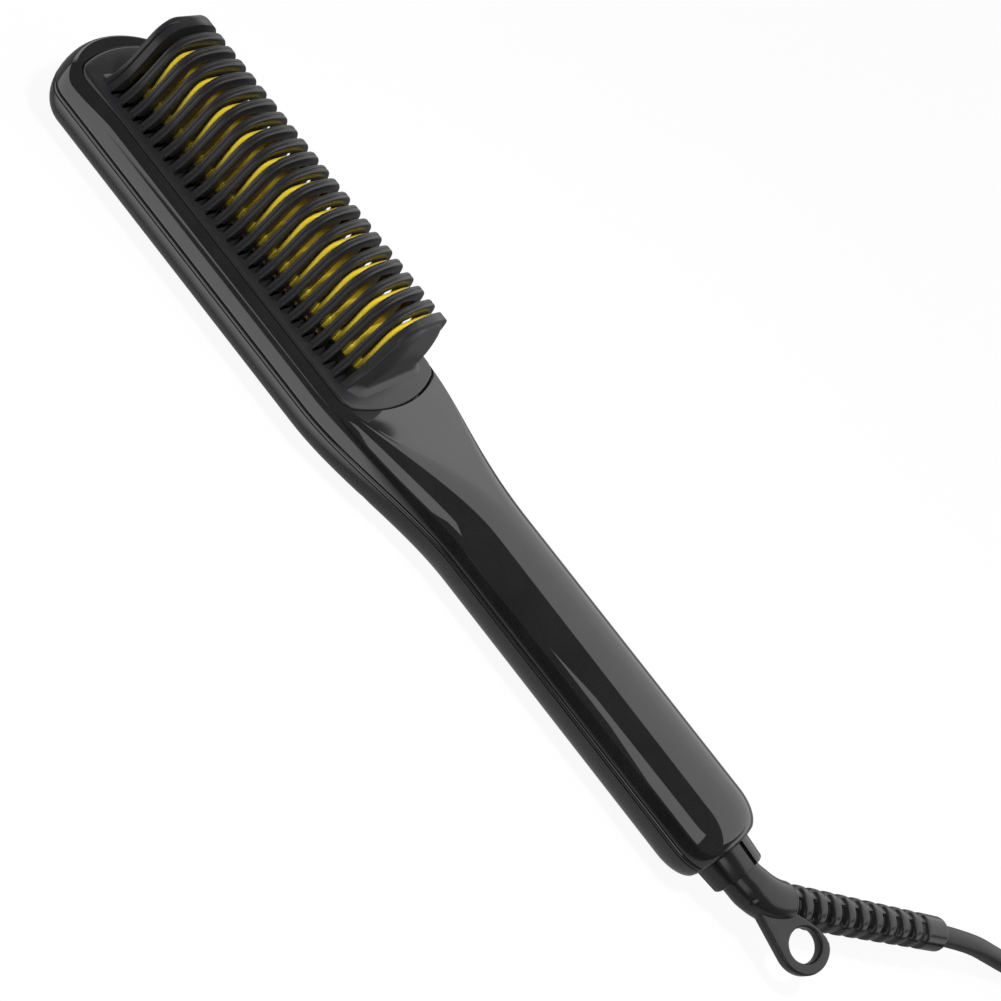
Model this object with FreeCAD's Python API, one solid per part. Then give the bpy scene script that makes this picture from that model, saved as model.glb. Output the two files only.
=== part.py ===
"""Beard straightener: a heated comb in a two-shell handle, with a swivel cord.

Millimetres. X runs from the comb's tip to the cord end, Z points up out of the comb, and the part
lies on its back. The origin is on the back's flat land, halfway along the housing.
"""
import FreeCAD
import Part
import math
import os

V = FreeCAD.Vector

# Housing
BODY_LENGTH = 250.0
HEAD_WIDTH = 44.0
HANDLE_WIDTH = 25.6
SEAM_HEIGHT = 11.8
RIM_HEIGHT = 19.3
HANDLE_HEIGHT = 24.5
WALL = 2.0
TIP_LENGTH = 12.5
TIP_RIM_ROUND = 4.2
TIP_BLEND = 16.0
TIP_STEPS = 4
UNDERSIDE_ROUND = 12.5
RIM_ROUND = 2.5
NECK_FROM_END = 143.0
NECK_LENGTH = 52.0
NECK_LEAD = 6.0
NECK_STEPS = 8
END_STEPS = 5
END_LENGTH = 9.0
END_WIDTH = 17.0
END_WALL = 3.5
LAND_CUT = 0.2
HANDLE_FLAT = 0.6
SHOULDER_FULLNESS = 1.6

# Comb recess and guard
RECESS_FROM_TIP = 5.7
RECESS_FROM_END = 130.3
RECESS_WIDTH = 39.2
RECESS_BULGE = 5.0
RECESS_CORNER = 5.0
LEDGE_WIDTH = 2.5
LEDGE_BOTTOM = 14.5
LEDGE_TOP = 16.5
GUARD_CLEARANCE = 0.2
GUARD_BASE_TOP = 20.0
RIB_PITCH = 4.18
RIB_THICKNESS = 2.1
FIRST_RIB_FROM_TIP = 17.65
LAST_RIB_FROM_END = 139.5
COMB_HEIGHT = 40.8
FOOT_WIDTH = 31.2
FLANK_HEIGHT = 27.0
FLANK_WIDTH = 24.0
SHOULDER_HEIGHT = 34.0
SHOULDER_WIDTH = 20.8
CROWN_WIDTH = 8.0
CROWN_DROP = 0.4
FLARE_RISE = 3.0
FLARE_BITE = 1.0
SHOULDER_BITE = 1.2
ARCH_WEIGHT = 0.7
RIB_DEPTH = 3.4
RIB_FLANK_DEPTH = 4.2
END_WALL_REACH = 2.7
END_WALL_DRAFT = 2.0
GAP_MARGIN = 3.0
GAP_FLOOR = 18.4
LEG_THICKNESS = 2.2

# Heater stack
PLATE_TOP = 24.5
PLATE_THICKNESS = 3.3
PLATE_CLEARANCE = 0.4
SHELF_LENGTH = 3.0
FIN_THICKNESS = 1.4
FIN_FOOT = 31.0
FIN_TOP = 37.8
FIN_WEIGHT = 2.0
FIN_CLEARANCE = 0.2
ELEMENT_SHARE = 0.64
ELEMENT_WIDTH = 14.0
ELEMENT_THICKNESS = 2.0
SHEET_MARGIN = 2.0
SHEET_THICKNESS = 0.5
CLAMP_CLEARANCE = 2.1
CLAMP_THICKNESS = 1.5
CLAMP_END = 4.0
TONGUE_WIDTH = 10.0
HEATER_SCREW_INSET = 5.8
FUSE_RADIUS = 1.9
FUSE_LENGTH = 12.0
SENSOR_RADIUS = 1.2
SENSOR_LENGTH = 5.0
SEAT_GAP = 0.1

# Screws
SHANK_RADIUS = 1.1
PILOT_CLEARANCE = 0.02
HOLE_CLEARANCE = 0.25
HEAD_RADIUS = 2.3
HEAD_DEPTH = 1.5
SLOT_WIDTH = 0.7
SLOT_LENGTH = 2.9
SLOT_DEPTH = 0.8
BOSS_RADIUS = 3.2
BORE_DEPTH = 5.0
HEATER_SCREW_LENGTH = 4.6
SHELL_SCREW_LENGTH = 13.0
NECK_SCREW_FROM_END = 119.0
NECK_SCREW_SPREAD = 23.0
HANDLE_SCREW_FROM_END = 33.0

# Control panel on the back of the handle
PANEL_FROM_END = 111.0
PANEL_MARGIN = 7.0
PANEL_WIDTH = 12.0
PANEL_FACE = 0.9
PANEL_THICKNESS = 1.6
PANEL_FLANGE = 0.8
FLANGE_THICKNESS = 1.0
PANEL_CLEARANCE = 0.2
LENS_FROM_PANEL = 5.0
LENS_LENGTH = 18.0
LENS_WIDTH = 8.0
LENS_CLEARANCE = 0.1
BUTTON_FROM_LENS = 8.0
BUTTON_PITCH = 9.0
BUTTON_RADIUS = 3.0
POWER_RADIUS = 3.4
BUTTON_CLEARANCE = 0.3
BUTTON_PROUD = 0.4
BUTTON_FLANGE = 0.6
BUTTON_FLANGE_THICKNESS = 0.6
BUTTON_REST_GAP = 0.05
BUTTON_TRAVEL = 0.7
TRAVEL_MARGIN = 0.1

# Control board
BOARD_FROM_END = 117.0
BOARD_CLEARANCE = 6.8
BOARD_WIDTH = 17.0
BOARD_THICKNESS = 1.6
SWITCH_SIDE = 6.0
SWITCH_HEIGHT = 3.4
PLUNGER_RADIUS = 1.7
PLUNGER_HEIGHT = 0.7
MODULE_HEIGHT = 3.0
PILLAR_WIDTH = 2.0
PILLAR_INSET = 2.0

# Wires inside
WIRE_RADIUS = 0.8
WIRE_SPREAD = 9.0
WIRE_GAP = 0.1
WIRE_BELOW_LEDGE = 0.3
WIRE_IN = 12.0

# Cord swivel
COLLAR_RADIUS = 7.45
COLLAR_OUT = 5.2
COLLAR_SKIRT = 1.4
COLLAR_SKIRT_RADIUS = 6.0
COLLAR_TIP_RADIUS = 6.95
COLLAR_FLANGE_RADIUS = 9.2
COLLAR_FLANGE = 2.4
COLLAR_CLEARANCE = 0.05
LUG_COUNT = 6
LUG_SLOT_WIDTH = 1.3
LUG_SLOT_DEPTH = 1.2
LUG_TURN = 12.0
BULKHEAD = 2.2
BULKHEAD_BORE = 7.2
SPINDLE_RADIUS = 4.6
SPINDLE_BORE = 2.0
RUN_CLEARANCE = 0.06
SPINDLE_IN = 17.5
SPINDLE_OUT = 8.0
SPINDLE_FLANGE_RADIUS = 6.4
SPINDLE_FLANGE = 1.8
SWIVEL_GAP = 0.3
RING_RADIUS = 5.8
RING_WIDTH = 2.0
RING_PITCH = 4.0
RING_INSET = 1.5
LEAF_THICKNESS = 0.4
LEAF_LENGTH = 9.0
CARRIER_WIDTH = 10.0
CARRIER_MARGIN = 1.2
CARRIER_SEAT = 3.2

# Boot: elbow, hang loop and ribbed bend protector
BOOT_RADIUS = 5.5
ELBOW_STRAIGHT = 0.9
ELBOW_RADIUS = 16.2
ELBOW_TURN = 50.5
ELBOW_RUN = 0.5
SLEEVE_LENGTH = 59.5
SLEEVE_START_RADIUS = 5.2
SLEEVE_END_RADIUS = 4.5
SLEEVE_CORE_RADIUS = 3.5
SLEEVE_PITCH = 5.3
SLEEVE_SLOT = 2.1
SLEEVE_PLAIN = 1.0
SLEEVE_WEB = 2.4
SLEEVE_ROLL = -60.0
SLEEVE_SLOT_HALF = 2.8
LOOP_FORWARD = 15.0
LOOP_SIDE = 2.3
LOOP_HOLE_RADIUS = 4.2
LOOP_BAND = 2.8
LOOP_THICKNESS = 4.4
LOOP_TILT = 28.0

# Cord, tie and plug
CORD_RADIUS = 2.8
COIL_TURNS = 7.5
COIL_MIN_RADIUS = 22.2
COIL_PITCH = 6.1
COIL_LIFT = 1.1
COIL_TAIL = 5.6
TIE_WIDTH = 9.0
TIE_THICKNESS = 0.8
TIE_CLEARANCE = 0.3
TIE_ANGLE = -120.0
PLUG_RELIEF_LENGTH = 24.0
PLUG_RELIEF_RADIUS = 4.2
PLUG_NOSE_RADIUS = 3.4
PLUG_LENGTH = 30.0
PLUG_WIDTH = 26.0
PLUG_CORNER = 4.0
BLADE_SPREAD = 12.7
BLADE_WIDTH = 6.35
BLADE_THICKNESS = 1.5
BLADE_LENGTH = 17.0
BLADE_ROOT = 8.0

# Cord route from the boot's end, chosen by hand: along the boot, to its right, and height above the floor
LEAD_POINTS = [
    (0.0, 0.0, 11.8),
    (15.0, 0.0, 11.2),
    (31.0, 0.6, 7.2),
    (47.0, 2.2, 4.2),
    (63.0, 5.2, 3.2),
    (78.0, 9.4, 3.9),
]
ARC_SHARE = 0.45

# Places worked out from the sizes above
TIP_X = -BODY_LENGTH / 2
END_X = BODY_LENGTH / 2
NECK_X = END_X - NECK_FROM_END
FIRST_RIB_X = TIP_X + FIRST_RIB_FROM_TIP
RIB_COUNT = 1 + int((END_X - LAST_RIB_FROM_END - FIRST_RIB_X) / RIB_PITCH)
LAST_RIB_X = FIRST_RIB_X + (RIB_COUNT - 1) * RIB_PITCH
COMB_X0 = FIRST_RIB_X - END_WALL_REACH
COMB_X1 = LAST_RIB_X + END_WALL_REACH
CAVITY_X0 = FIRST_RIB_X - RIB_THICKNESS / 2
CAVITY_X1 = LAST_RIB_X + RIB_THICKNESS / 2
CAVITY_HALF = FLANK_WIDTH / 2 - LEG_THICKNESS
RECESS_X0 = TIP_X + RECESS_FROM_TIP
RECESS_X1 = END_X - RECESS_FROM_END
GAP_HALF = RECESS_WIDTH / 2 - GAP_MARGIN
CLAMP_HALF = RECESS_WIDTH / 2 - LEDGE_WIDTH - CLAMP_CLEARANCE
ELEMENT_LENGTH = (CAVITY_X1 - CAVITY_X0) * ELEMENT_SHARE
PLATE_BOTTOM = PLATE_TOP - PLATE_THICKNESS
ELEMENT_BOTTOM = PLATE_BOTTOM - ELEMENT_THICKNESS
SHEET_BOTTOM = ELEMENT_BOTTOM - SHEET_THICKNESS
COMB_X = (FIRST_RIB_X + LAST_RIB_X) / 2
PANEL_X0 = END_X - PANEL_FROM_END
PANEL_BACK = PANEL_FACE + PANEL_THICKNESS
BOARD_X0 = END_X - BOARD_FROM_END
BOARD_X1 = END_X - HANDLE_SCREW_FROM_END - BOSS_RADIUS - BOARD_CLEARANCE
BUTTON_TOP = PANEL_BACK + BUTTON_REST_GAP + BUTTON_FLANGE_THICKNESS
BOARD_BOTTOM = BUTTON_TOP + BUTTON_TRAVEL + TRAVEL_MARGIN + PLUNGER_HEIGHT + SWITCH_HEIGHT
LENS_X0 = PANEL_X0 + LENS_FROM_PANEL
FIRST_BUTTON_X = LENS_X0 + LENS_LENGTH + BUTTON_FROM_LENS
BUTTON_XS = [FIRST_BUTTON_X + i * BUTTON_PITCH for i in range(3)]
PANEL_X1 = BUTTON_XS[2] + PANEL_MARGIN
AXIS_Z = SEAM_HEIGHT
COLLAR_END_X = END_X + COLLAR_OUT
COLLAR_INNER_X = END_X - END_WALL - COLLAR_FLANGE
SPINDLE_X0 = END_X - SPINDLE_IN
RING_X0 = SPINDLE_X0 + RING_INSET
BOOT_X0 = COLLAR_END_X + SWIVEL_GAP
SLEEVE_COS = math.cos(math.radians(ELBOW_TURN))
SLEEVE_SIN = math.sin(math.radians(ELBOW_TURN))
PLUG_AXIS_Z = COIL_LIFT + CORD_RADIUS + COIL_PITCH


def box(x0, x1, y0, y1, z0, z1):
    return Part.makeBox(x1 - x0, y1 - y0, z1 - z0, V(x0, y0, z0))


def rod(radius, x0, x1, y=0.0, z=AXIS_Z):
    return Part.makeCylinder(radius, x1 - x0, V(x0, y, z), V(1, 0, 0))


def post(radius, z0, z1, x, y):
    return Part.makeCylinder(radius, z1 - z0, V(x, y, z0), V(0, 0, 1))


def save(shape, name):
    shape.exportStep("parts/" + name + ".step")
    print(name, len(shape.Solids), "solids", round(shape.Volume, 1), "mm3", shape.isValid())


def save_group(solids, name):
    group = Part.makeCompound(solids)
    group.exportStep("parts/" + name + ".step")
    print(name, len(group.Solids), "solids", round(group.Volume, 1), "mm3", group.isValid())


def ease(u):
    u = min(max(u, 0.0), 1.0)
    return u * u * (3.0 - 2.0 * u)


def round_off(u):
    return math.sqrt(max(0.0, 1.0 - u * u))


def bend(start, corner, end, weight=1.0):
    """Curve tangent at both ends to the lines towards the corner, fuller with more weight."""
    curve = Part.BSplineCurve()
    weights = [1.0, weight, 1.0]
    curve.buildFromPolesMultsKnots([start, corner, end], [3, 3], [0.0, 1.0], False, 2, weights)
    return curve.toShape()


def line(start, end):
    return Part.LineSegment(start, end).toShape()


def ellipse_quarter(start, corner, end):
    return bend(start, corner, end, math.sqrt(0.5))


# Housing surface: sizes of the cross-section at a place along the length

def neck_share(x):
    return ease((x - NECK_X) / NECK_LENGTH)


def end_share(x):
    """Size of the rounded handle end, as a share of the full handle."""
    u = max(0.0, (x - END_X + END_LENGTH) / END_LENGTH)
    small = END_WIDTH / HANDLE_WIDTH
    return small + (1.0 - small) * round_off(u)


def half_width(x):
    head = HEAD_WIDTH / 2
    return (head + (HANDLE_WIDTH / 2 - head) * neck_share(x)) * end_share(x)


def top_height(x):
    full = RIM_HEIGHT + (HANDLE_HEIGHT - RIM_HEIGHT) * neck_share(x) - SEAM_HEIGHT
    return SEAM_HEIGHT + full * end_share(x)


def bottom_height(x):
    return SEAM_HEIGHT - (SEAM_HEIGHT + LAND_CUT) * end_share(x)


def land_half(x):
    head = HEAD_WIDTH / 2 - UNDERSIDE_ROUND
    return (head + (HANDLE_FLAT / 2 - head) * neck_share(x)) * end_share(x)


def rim_round(x):
    """Rounding of the upper edge, larger at the tip."""
    back = 1.0 - ease((x - TIP_X - TIP_LENGTH) / TIP_BLEND)
    return RIM_ROUND + (TIP_RIM_ROUND - RIM_ROUND) * back


def flat_half(x):
    share = neck_share(x) ** SHOULDER_FULLNESS
    return ((half_width(x) - rim_round(x)) * (1.0 - share) + HANDLE_FLAT / 2 * share) * end_share(x)


def section_sizes(x, up, inset):
    """Half width, height of the flat and half width of the flat, drawn in by a wall."""
    width = half_width(x) - inset
    if up:
        return width, top_height(x) - inset, min(flat_half(x), width - HANDLE_FLAT)
    return width, bottom_height(x) + inset, min(land_half(x), width - HANDLE_FLAT)


def half_section(x, up, inset):
    """Closed half of the housing's cross-section, above or below the seam."""
    width, edge, flat = section_sizes(x, up, inset)
    corners = [V(x, -width, SEAM_HEIGHT), V(x, -width, edge), V(x, -flat, edge)]
    corners += [V(x, flat, edge), V(x, width, edge), V(x, width, SEAM_HEIGHT)]
    return Part.Wire([
        ellipse_quarter(corners[0], corners[1], corners[2]),
        Part.LineSegment(corners[2], corners[3]).toShape(),
        ellipse_quarter(corners[3], corners[4], corners[5]),
        Part.LineSegment(corners[5], corners[0]).toShape(),
    ])


def tip_half(up, inset):
    """Rounded tip: the head's section turned about an upright axis, then shortened to the tip's length."""
    x = TIP_X + TIP_LENGTH
    width, edge, flat = section_sizes(x, up, inset)
    foot = V(x, 0, SEAM_HEIGHT)
    peak = V(x, 0, edge)
    rim = V(x, width, SEAM_HEIGHT)
    wire = Part.Wire([
        Part.LineSegment(foot, peak).toShape(),
        Part.LineSegment(peak, V(x, flat, edge)).toShape(),
        ellipse_quarter(V(x, flat, edge), V(x, width, edge), rim),
        Part.LineSegment(rim, foot).toShape(),
    ])
    tip = Part.Face(wire).revolve(V(x, 0, 0), V(0, 0, 1), 180)
    squeeze = FreeCAD.Matrix()
    squeeze.move(V(-x, 0, 0))
    squeeze.scale((TIP_LENGTH - inset) / width, 1.0, 1.0)
    squeeze.move(V(x, 0, 0))
    return tip.transformGeometry(squeeze)


def housing_half(up, inset, end):
    """Half of the housing as one solid: tip, straight head, neck, straight handle and rounded end."""
    def section(x):
        return half_section(x, up, inset)

    tip_x = TIP_X + TIP_LENGTH
    head_x = tip_x + TIP_BLEND
    tip_xs = [tip_x + TIP_BLEND * i / TIP_STEPS for i in range(TIP_STEPS + 1)]
    neck_x0 = NECK_X - NECK_LEAD
    neck_x1 = NECK_X + NECK_LENGTH + NECK_LEAD
    round_x = END_X - END_LENGTH
    neck_xs = [NECK_X + NECK_LENGTH * i / NECK_STEPS for i in range(NECK_STEPS + 1)]
    neck_xs = [neck_x0, neck_x0 + NECK_LEAD / 2] + neck_xs + [neck_x1 - NECK_LEAD / 2, neck_x1]
    turns = [math.sin(math.pi / 2 * i / END_STEPS) for i in range(END_STEPS + 1)]
    end_xs = [round_x + END_LENGTH * turn for turn in turns]
    end_xs = [x for x in end_xs if x < end - 0.5] + [end]
    pieces = [
        Part.makeLoft([section(x) for x in tip_xs], True, False),
        Part.Face(section(head_x)).extrude(V(neck_x0 - head_x, 0, 0)),
        Part.makeLoft([section(x) for x in neck_xs], True, False),
        Part.Face(section(neck_x1)).extrude(V(round_x - neck_x1, 0, 0)),
        Part.makeLoft([section(x) for x in end_xs], True, False),
    ]
    return tip_half(up, inset).fuse(pieces).removeSplitter()


def recess(inset, z0, z1):
    """Comb recess: straight sides, ends that bulge in one arc, rounded corners."""
    half = RECESS_WIDTH / 2 - inset
    x0 = RECESS_X0 + inset
    x1 = RECESS_X1 - inset
    a = V(x0 + RECESS_BULGE, -half, z0)
    b = V(x1 - RECESS_BULGE, -half, z0)
    c = V(x1 - RECESS_BULGE, half, z0)
    d = V(x0 + RECESS_BULGE, half, z0)
    edges = [
        Part.LineSegment(a, b).toShape(),
        Part.Arc(b, V(x1, 0, z0), c).toShape(),
        Part.LineSegment(c, d).toShape(),
        Part.Arc(d, V(x0, 0, z0), a).toShape(),
    ]
    solid = Part.Face(Part.Wire(edges)).extrude(V(0, 0, z1 - z0))
    upright = [e for e in solid.Edges if abs(e.Vertexes[0].Z - e.Vertexes[-1].Z) > (z1 - z0) / 2]
    return solid.makeFillet(RECESS_CORNER - inset, upright)


def screw_places():
    neck_x = END_X - NECK_SCREW_FROM_END
    return [
        (neck_x, -NECK_SCREW_SPREAD / 2),
        (neck_x, NECK_SCREW_SPREAD / 2),
        (END_X - HANDLE_SCREW_FROM_END, 0.0),
    ]


def bulkhead():
    """Wall across the handle that traps the collar's flange, with a bore for the spindle."""
    x1 = COLLAR_INNER_X
    x0 = x1 - BULKHEAD
    tall = HANDLE_HEIGHT + WALL
    return box(x0, x1, -HANDLE_WIDTH, HANDLE_WIDTH, -WALL, tall).cut(rod(BULKHEAD_BORE, x0 - 1, x1 + 1))


def front_shell():
    outer = housing_half(True, 0.0, END_X)
    hollow = housing_half(True, WALL, END_X - END_WALL)
    comb_end = RECESS_X1 + WALL
    hollow = hollow.cut(box(TIP_X, comb_end, -HEAD_WIDTH, HEAD_WIDTH, LEDGE_BOTTOM, HANDLE_HEIGHT))
    shell = outer.cut(hollow)
    shell = shell.cut(recess(0.0, LEDGE_TOP, HANDLE_HEIGHT))
    shell = shell.cut(recess(LEDGE_WIDTH, SEAM_HEIGHT, HANDLE_HEIGHT))
    shell = shell.cut(rod(COLLAR_RADIUS + COLLAR_CLEARANCE, END_X - END_WALL - 1, END_X + 1))
    inside = housing_half(True, WALL / 2, END_X - END_WALL / 2)
    bosses = [post(BOSS_RADIUS, SEAM_HEIGHT, HANDLE_HEIGHT, x, y) for x, y in screw_places()]
    for extra in bosses + [bulkhead()]:
        shell = shell.fuse(extra.common(inside))
    pilot = SHANK_RADIUS + PILOT_CLEARANCE
    for x, y in screw_places():
        shell = shell.cut(post(pilot, SEAM_HEIGHT - 1, BORE_DEPTH + SHELL_SCREW_LENGTH + 0.5, x, y))
    return shell


def panel_blank(grow, z0, z1):
    """Control panel outline: a long plate with round ends."""
    radius = PANEL_WIDTH / 2 + grow
    x0 = PANEL_X0 + PANEL_WIDTH / 2
    x1 = PANEL_X1 - PANEL_WIDTH / 2
    blank = box(x0, x1, -radius, radius, z0, z1)
    return blank.fuse(post(radius, z0, z1, x0, 0)).fuse(post(radius, z0, z1, x1, 0)).removeSplitter()


def board_pillars():
    half = BOARD_WIDTH / 2
    xs = [BOARD_X0 + PILLAR_INSET, BOARD_X1 - PILLAR_INSET - PILLAR_WIDTH]
    return [box(x, x + PILLAR_WIDTH, -half, half, 0.0, BOARD_BOTTOM) for x in xs]


def back_shell():
    outer = housing_half(False, 0.0, END_X)
    outer = outer.cut(box(TIP_X - 1, END_X + 1, -HEAD_WIDTH, HEAD_WIDTH, -WALL, 0.0))
    shell = outer.cut(housing_half(False, WALL + LAND_CUT, END_X - END_WALL))
    shell = shell.cut(rod(COLLAR_RADIUS + COLLAR_CLEARANCE, END_X - END_WALL - 1, END_X + 1))
    inside = housing_half(False, WALL / 2, END_X - END_WALL / 2)
    frame = panel_blank(PANEL_FLANGE + WALL, 0.0, PANEL_BACK)
    tubes = [post(BOSS_RADIUS, 0.0, SEAM_HEIGHT, x, y) for x, y in screw_places()]
    for extra in board_pillars() + tubes + [frame, carrier_seat(), bulkhead()]:
        shell = shell.fuse(extra.common(inside))
    shell = shell.cut(panel_blank(PANEL_CLEARANCE, -WALL, PANEL_BACK + WALL))
    rebate_top = PANEL_BACK + FLANGE_THICKNESS + WALL
    shell = shell.cut(panel_blank(PANEL_FLANGE + PANEL_CLEARANCE, PANEL_BACK, rebate_top))
    shell = shell.cut(panel_blank(PANEL_CLEARANCE + WALL, -WALL, PANEL_FACE))
    for x, y in screw_places():
        shell = shell.cut(post(HEAD_RADIUS + HOLE_CLEARANCE, -WALL, BORE_DEPTH, x, y))
        shell = shell.cut(post(SHANK_RADIUS + HOLE_CLEARANCE, -WALL, SEAM_HEIGHT + 1, x, y))
    return shell


# Comb guard and heater

def mirrored(outline, x0, x1):
    """Block between two places along X from the near half of its outline, given as edges from the foot up."""
    half = Part.Wire(outline)
    foot = half.OrderedVertexes[0].Point
    peak = half.OrderedVertexes[-1].Point
    closed = Part.Wire(outline + [line(peak, V(foot.x, 0, foot.z)), line(V(foot.x, 0, foot.z), foot)])
    near = Part.Face(closed).extrude(V(x1 - x0, 0, 0))
    return near.fuse(near.mirror(V(0, 0, 0), V(0, 1, 0))).removeSplitter()


def arch(half, bottom, foot, top, weight, x0, x1):
    """Block whose section is a tall arch: straight up to its foot, then round to the top."""
    low = V(x0, -half, bottom)
    shoulder = V(x0, -half, foot)
    return mirrored([line(low, shoulder), bend(shoulder, V(x0, -half, top), V(x0, 0, top), weight)], x0, x1)


def hood(x0, x1):
    """Block with the ribs' outer form: a flared foot, a steep flank, a round shoulder and a low crown."""
    low = V(x0, -FOOT_WIDTH / 2, LEDGE_TOP)
    foot = V(x0, -FOOT_WIDTH / 2, GUARD_BASE_TOP)
    flank = V(x0, -FLANK_WIDTH / 2, FLANK_HEIGHT)
    shoulder = V(x0, -SHOULDER_WIDTH / 2, SHOULDER_HEIGHT)
    crown = V(x0, -CROWN_WIDTH / 2, COMB_HEIGHT - CROWN_DROP)
    peak = V(x0, 0, COMB_HEIGHT)
    flare_corner = V(x0, flank.y - FLARE_BITE, GUARD_BASE_TOP + FLARE_RISE)
    shoulder_corner = V(x0, shoulder.y + SHOULDER_BITE, crown.z - CROWN_DROP)
    return mirrored([
        line(low, foot),
        bend(foot, flare_corner, flank),
        line(flank, shoulder),
        bend(shoulder, shoulder_corner, crown),
        bend(crown, V(x0, crown.y / 2, COMB_HEIGHT), peak),
    ], x0, x1)


def gap_centres():
    return [FIRST_RIB_X + (i + 0.5) * RIB_PITCH for i in range(RIB_COUNT - 1)]


def tongue_xs():
    """Screw places in the clamp's two tongues."""
    return [RECESS_X0 + HEATER_SCREW_INSET, RECESS_X1 - HEATER_SCREW_INSET]


def draft_wedge(x):
    """Waste that leaves the end wall at the neck leaning inwards from its foot to its top."""
    top = COMB_HEIGHT + 1
    lean = V(x - END_WALL_DRAFT, -FOOT_WIDTH, top)
    points = [V(x, -FOOT_WIDTH, GUARD_BASE_TOP), lean, V(x + 1, -FOOT_WIDTH, top)]
    points += [V(x + 1, -FOOT_WIDTH, GUARD_BASE_TOP), points[0]]
    return Part.Face(Part.makePolygon(points)).extrude(V(0, 2 * FOOT_WIDTH, 0))


def comb_guard():
    base = recess(GUARD_CLEARANCE, LEDGE_TOP, GUARD_BASE_TOP)
    guard = base.fuse(hood(COMB_X0, COMB_X1))
    shelf0 = CAVITY_X0 + SHELF_LENGTH
    shelf1 = CAVITY_X1 - SHELF_LENGTH
    inner_top = COMB_HEIGHT - RIB_DEPTH
    guard = guard.cut(box(CAVITY_X0, CAVITY_X1, -CAVITY_HALF, CAVITY_HALF, LEDGE_TOP - 1, PLATE_TOP))
    inner_half = FLANK_WIDTH / 2 - RIB_FLANK_DEPTH
    guard = guard.cut(arch(inner_half, LEDGE_TOP - 1, FLANK_HEIGHT, inner_top, ARCH_WEIGHT, shelf0, shelf1))
    guard = guard.cut(draft_wedge(COMB_X1))
    gap = (RIB_PITCH - RIB_THICKNESS) / 2
    slots = []
    for x in gap_centres():
        slots.append(box(x - gap, x + gap, -GAP_HALF, GAP_HALF, GAP_FLOOR, COMB_HEIGHT + 1))
    guard = guard.cut(Part.makeCompound(slots))
    pilot = SHANK_RADIUS + PILOT_CLEARANCE
    for x in tongue_xs():
        guard = guard.cut(post(pilot, LEDGE_TOP - 1, LEDGE_TOP + HEATER_SCREW_LENGTH - CLAMP_THICKNESS, x, 0))
    return guard


def heater_plate():
    half = CAVITY_HALF - PLATE_CLEARANCE
    x0 = CAVITY_X0 + PLATE_CLEARANCE
    x1 = CAVITY_X1 - PLATE_CLEARANCE
    plate = box(x0, x1, -half, half, PLATE_BOTTOM, PLATE_TOP)
    fins = []
    for x in gap_centres()[1::2]:
        thick = FIN_THICKNESS / 2
        side = CAVITY_HALF - FIN_CLEARANCE
        fins.append(arch(side, PLATE_BOTTOM, FIN_FOOT, FIN_TOP, FIN_WEIGHT, x - thick, x + thick))
    return plate.fuse(fins)


def centred_slab(length, width, z0, z1):
    return box(COMB_X - length / 2, COMB_X + length / 2, -width / 2, width / 2, z0, z1)


def heater_clamp():
    half = CLAMP_HALF
    z0 = LEDGE_TOP - CLAMP_THICKNESS
    plate = box(CAVITY_X0 + CLAMP_END, CAVITY_X1 - CLAMP_END, -half, half, z0, LEDGE_TOP)
    x0, x1 = tongue_xs()
    side = TONGUE_WIDTH / 2
    tongue = box(x0 - HEAD_RADIUS, x1 + HEAD_RADIUS, -side, side, z0, LEDGE_TOP)
    pad = centred_slab(ELEMENT_LENGTH, ELEMENT_WIDTH - 2 * SHEET_MARGIN, z0, SHEET_BOTTOM)
    clamp = plate.fuse(tongue).fuse(pad)
    for x in (x0, x1):
        clamp = clamp.cut(post(SHANK_RADIUS + HOLE_CLEARANCE, z0 - 1, LEDGE_TOP + 1, x, 0))
    return clamp


def screw(x, y, seat, length):
    """Pan-head screw driven upwards, its head below the seat, with a cross slot."""
    head = post(HEAD_RADIUS, seat - HEAD_DEPTH, seat, x, y)
    shank = post(SHANK_RADIUS, seat, seat + length, x, y)
    low = seat - HEAD_DEPTH
    slot = SLOT_WIDTH / 2
    arm = SLOT_LENGTH / 2
    cross = box(x - arm, x + arm, y - slot, y + slot, low - 1, low + SLOT_DEPTH)
    cross = cross.fuse(box(x - slot, x + slot, y - arm, y + arm, low - 1, low + SLOT_DEPTH))
    return head.fuse(shank).cut(cross).removeSplitter()


def clamp_rider(radius, length, side):
    """Small round device lying across the underside of the clamp, halfway to one of its ends."""
    x = COMB_X + side * ((CAVITY_X1 - CAVITY_X0) / 4)
    z = LEDGE_TOP - CLAMP_THICKNESS - radius - SEAT_GAP
    return Part.makeCylinder(radius, length, V(x, -length / 2, z), V(0, 1, 0))


# Control panel, board and buttons

def button_radius(index):
    return POWER_RADIUS if index == 2 else BUTTON_RADIUS


def control_panel():
    panel = panel_blank(0.0, PANEL_FACE, PANEL_BACK)
    flange = panel_blank(PANEL_FLANGE, PANEL_BACK, PANEL_BACK + FLANGE_THICKNESS)
    flange = flange.cut(panel_blank(-PANEL_FLANGE, PANEL_BACK - 1, PANEL_BACK + WALL))
    panel = panel.fuse(flange)
    grow = LENS_CLEARANCE
    half = LENS_WIDTH / 2 + grow
    panel = panel.cut(box(LENS_X0 - grow, LENS_X0 + LENS_LENGTH + grow, -half, half, -WALL, SEAM_HEIGHT))
    for index, x in enumerate(BUTTON_XS):
        panel = panel.cut(post(button_radius(index) + BUTTON_CLEARANCE, -WALL, SEAM_HEIGHT, x, 0))
    return panel


def display_lens():
    half = LENS_WIDTH / 2
    return box(LENS_X0, LENS_X0 + LENS_LENGTH, -half, half, PANEL_FACE, PANEL_BACK)


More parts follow.
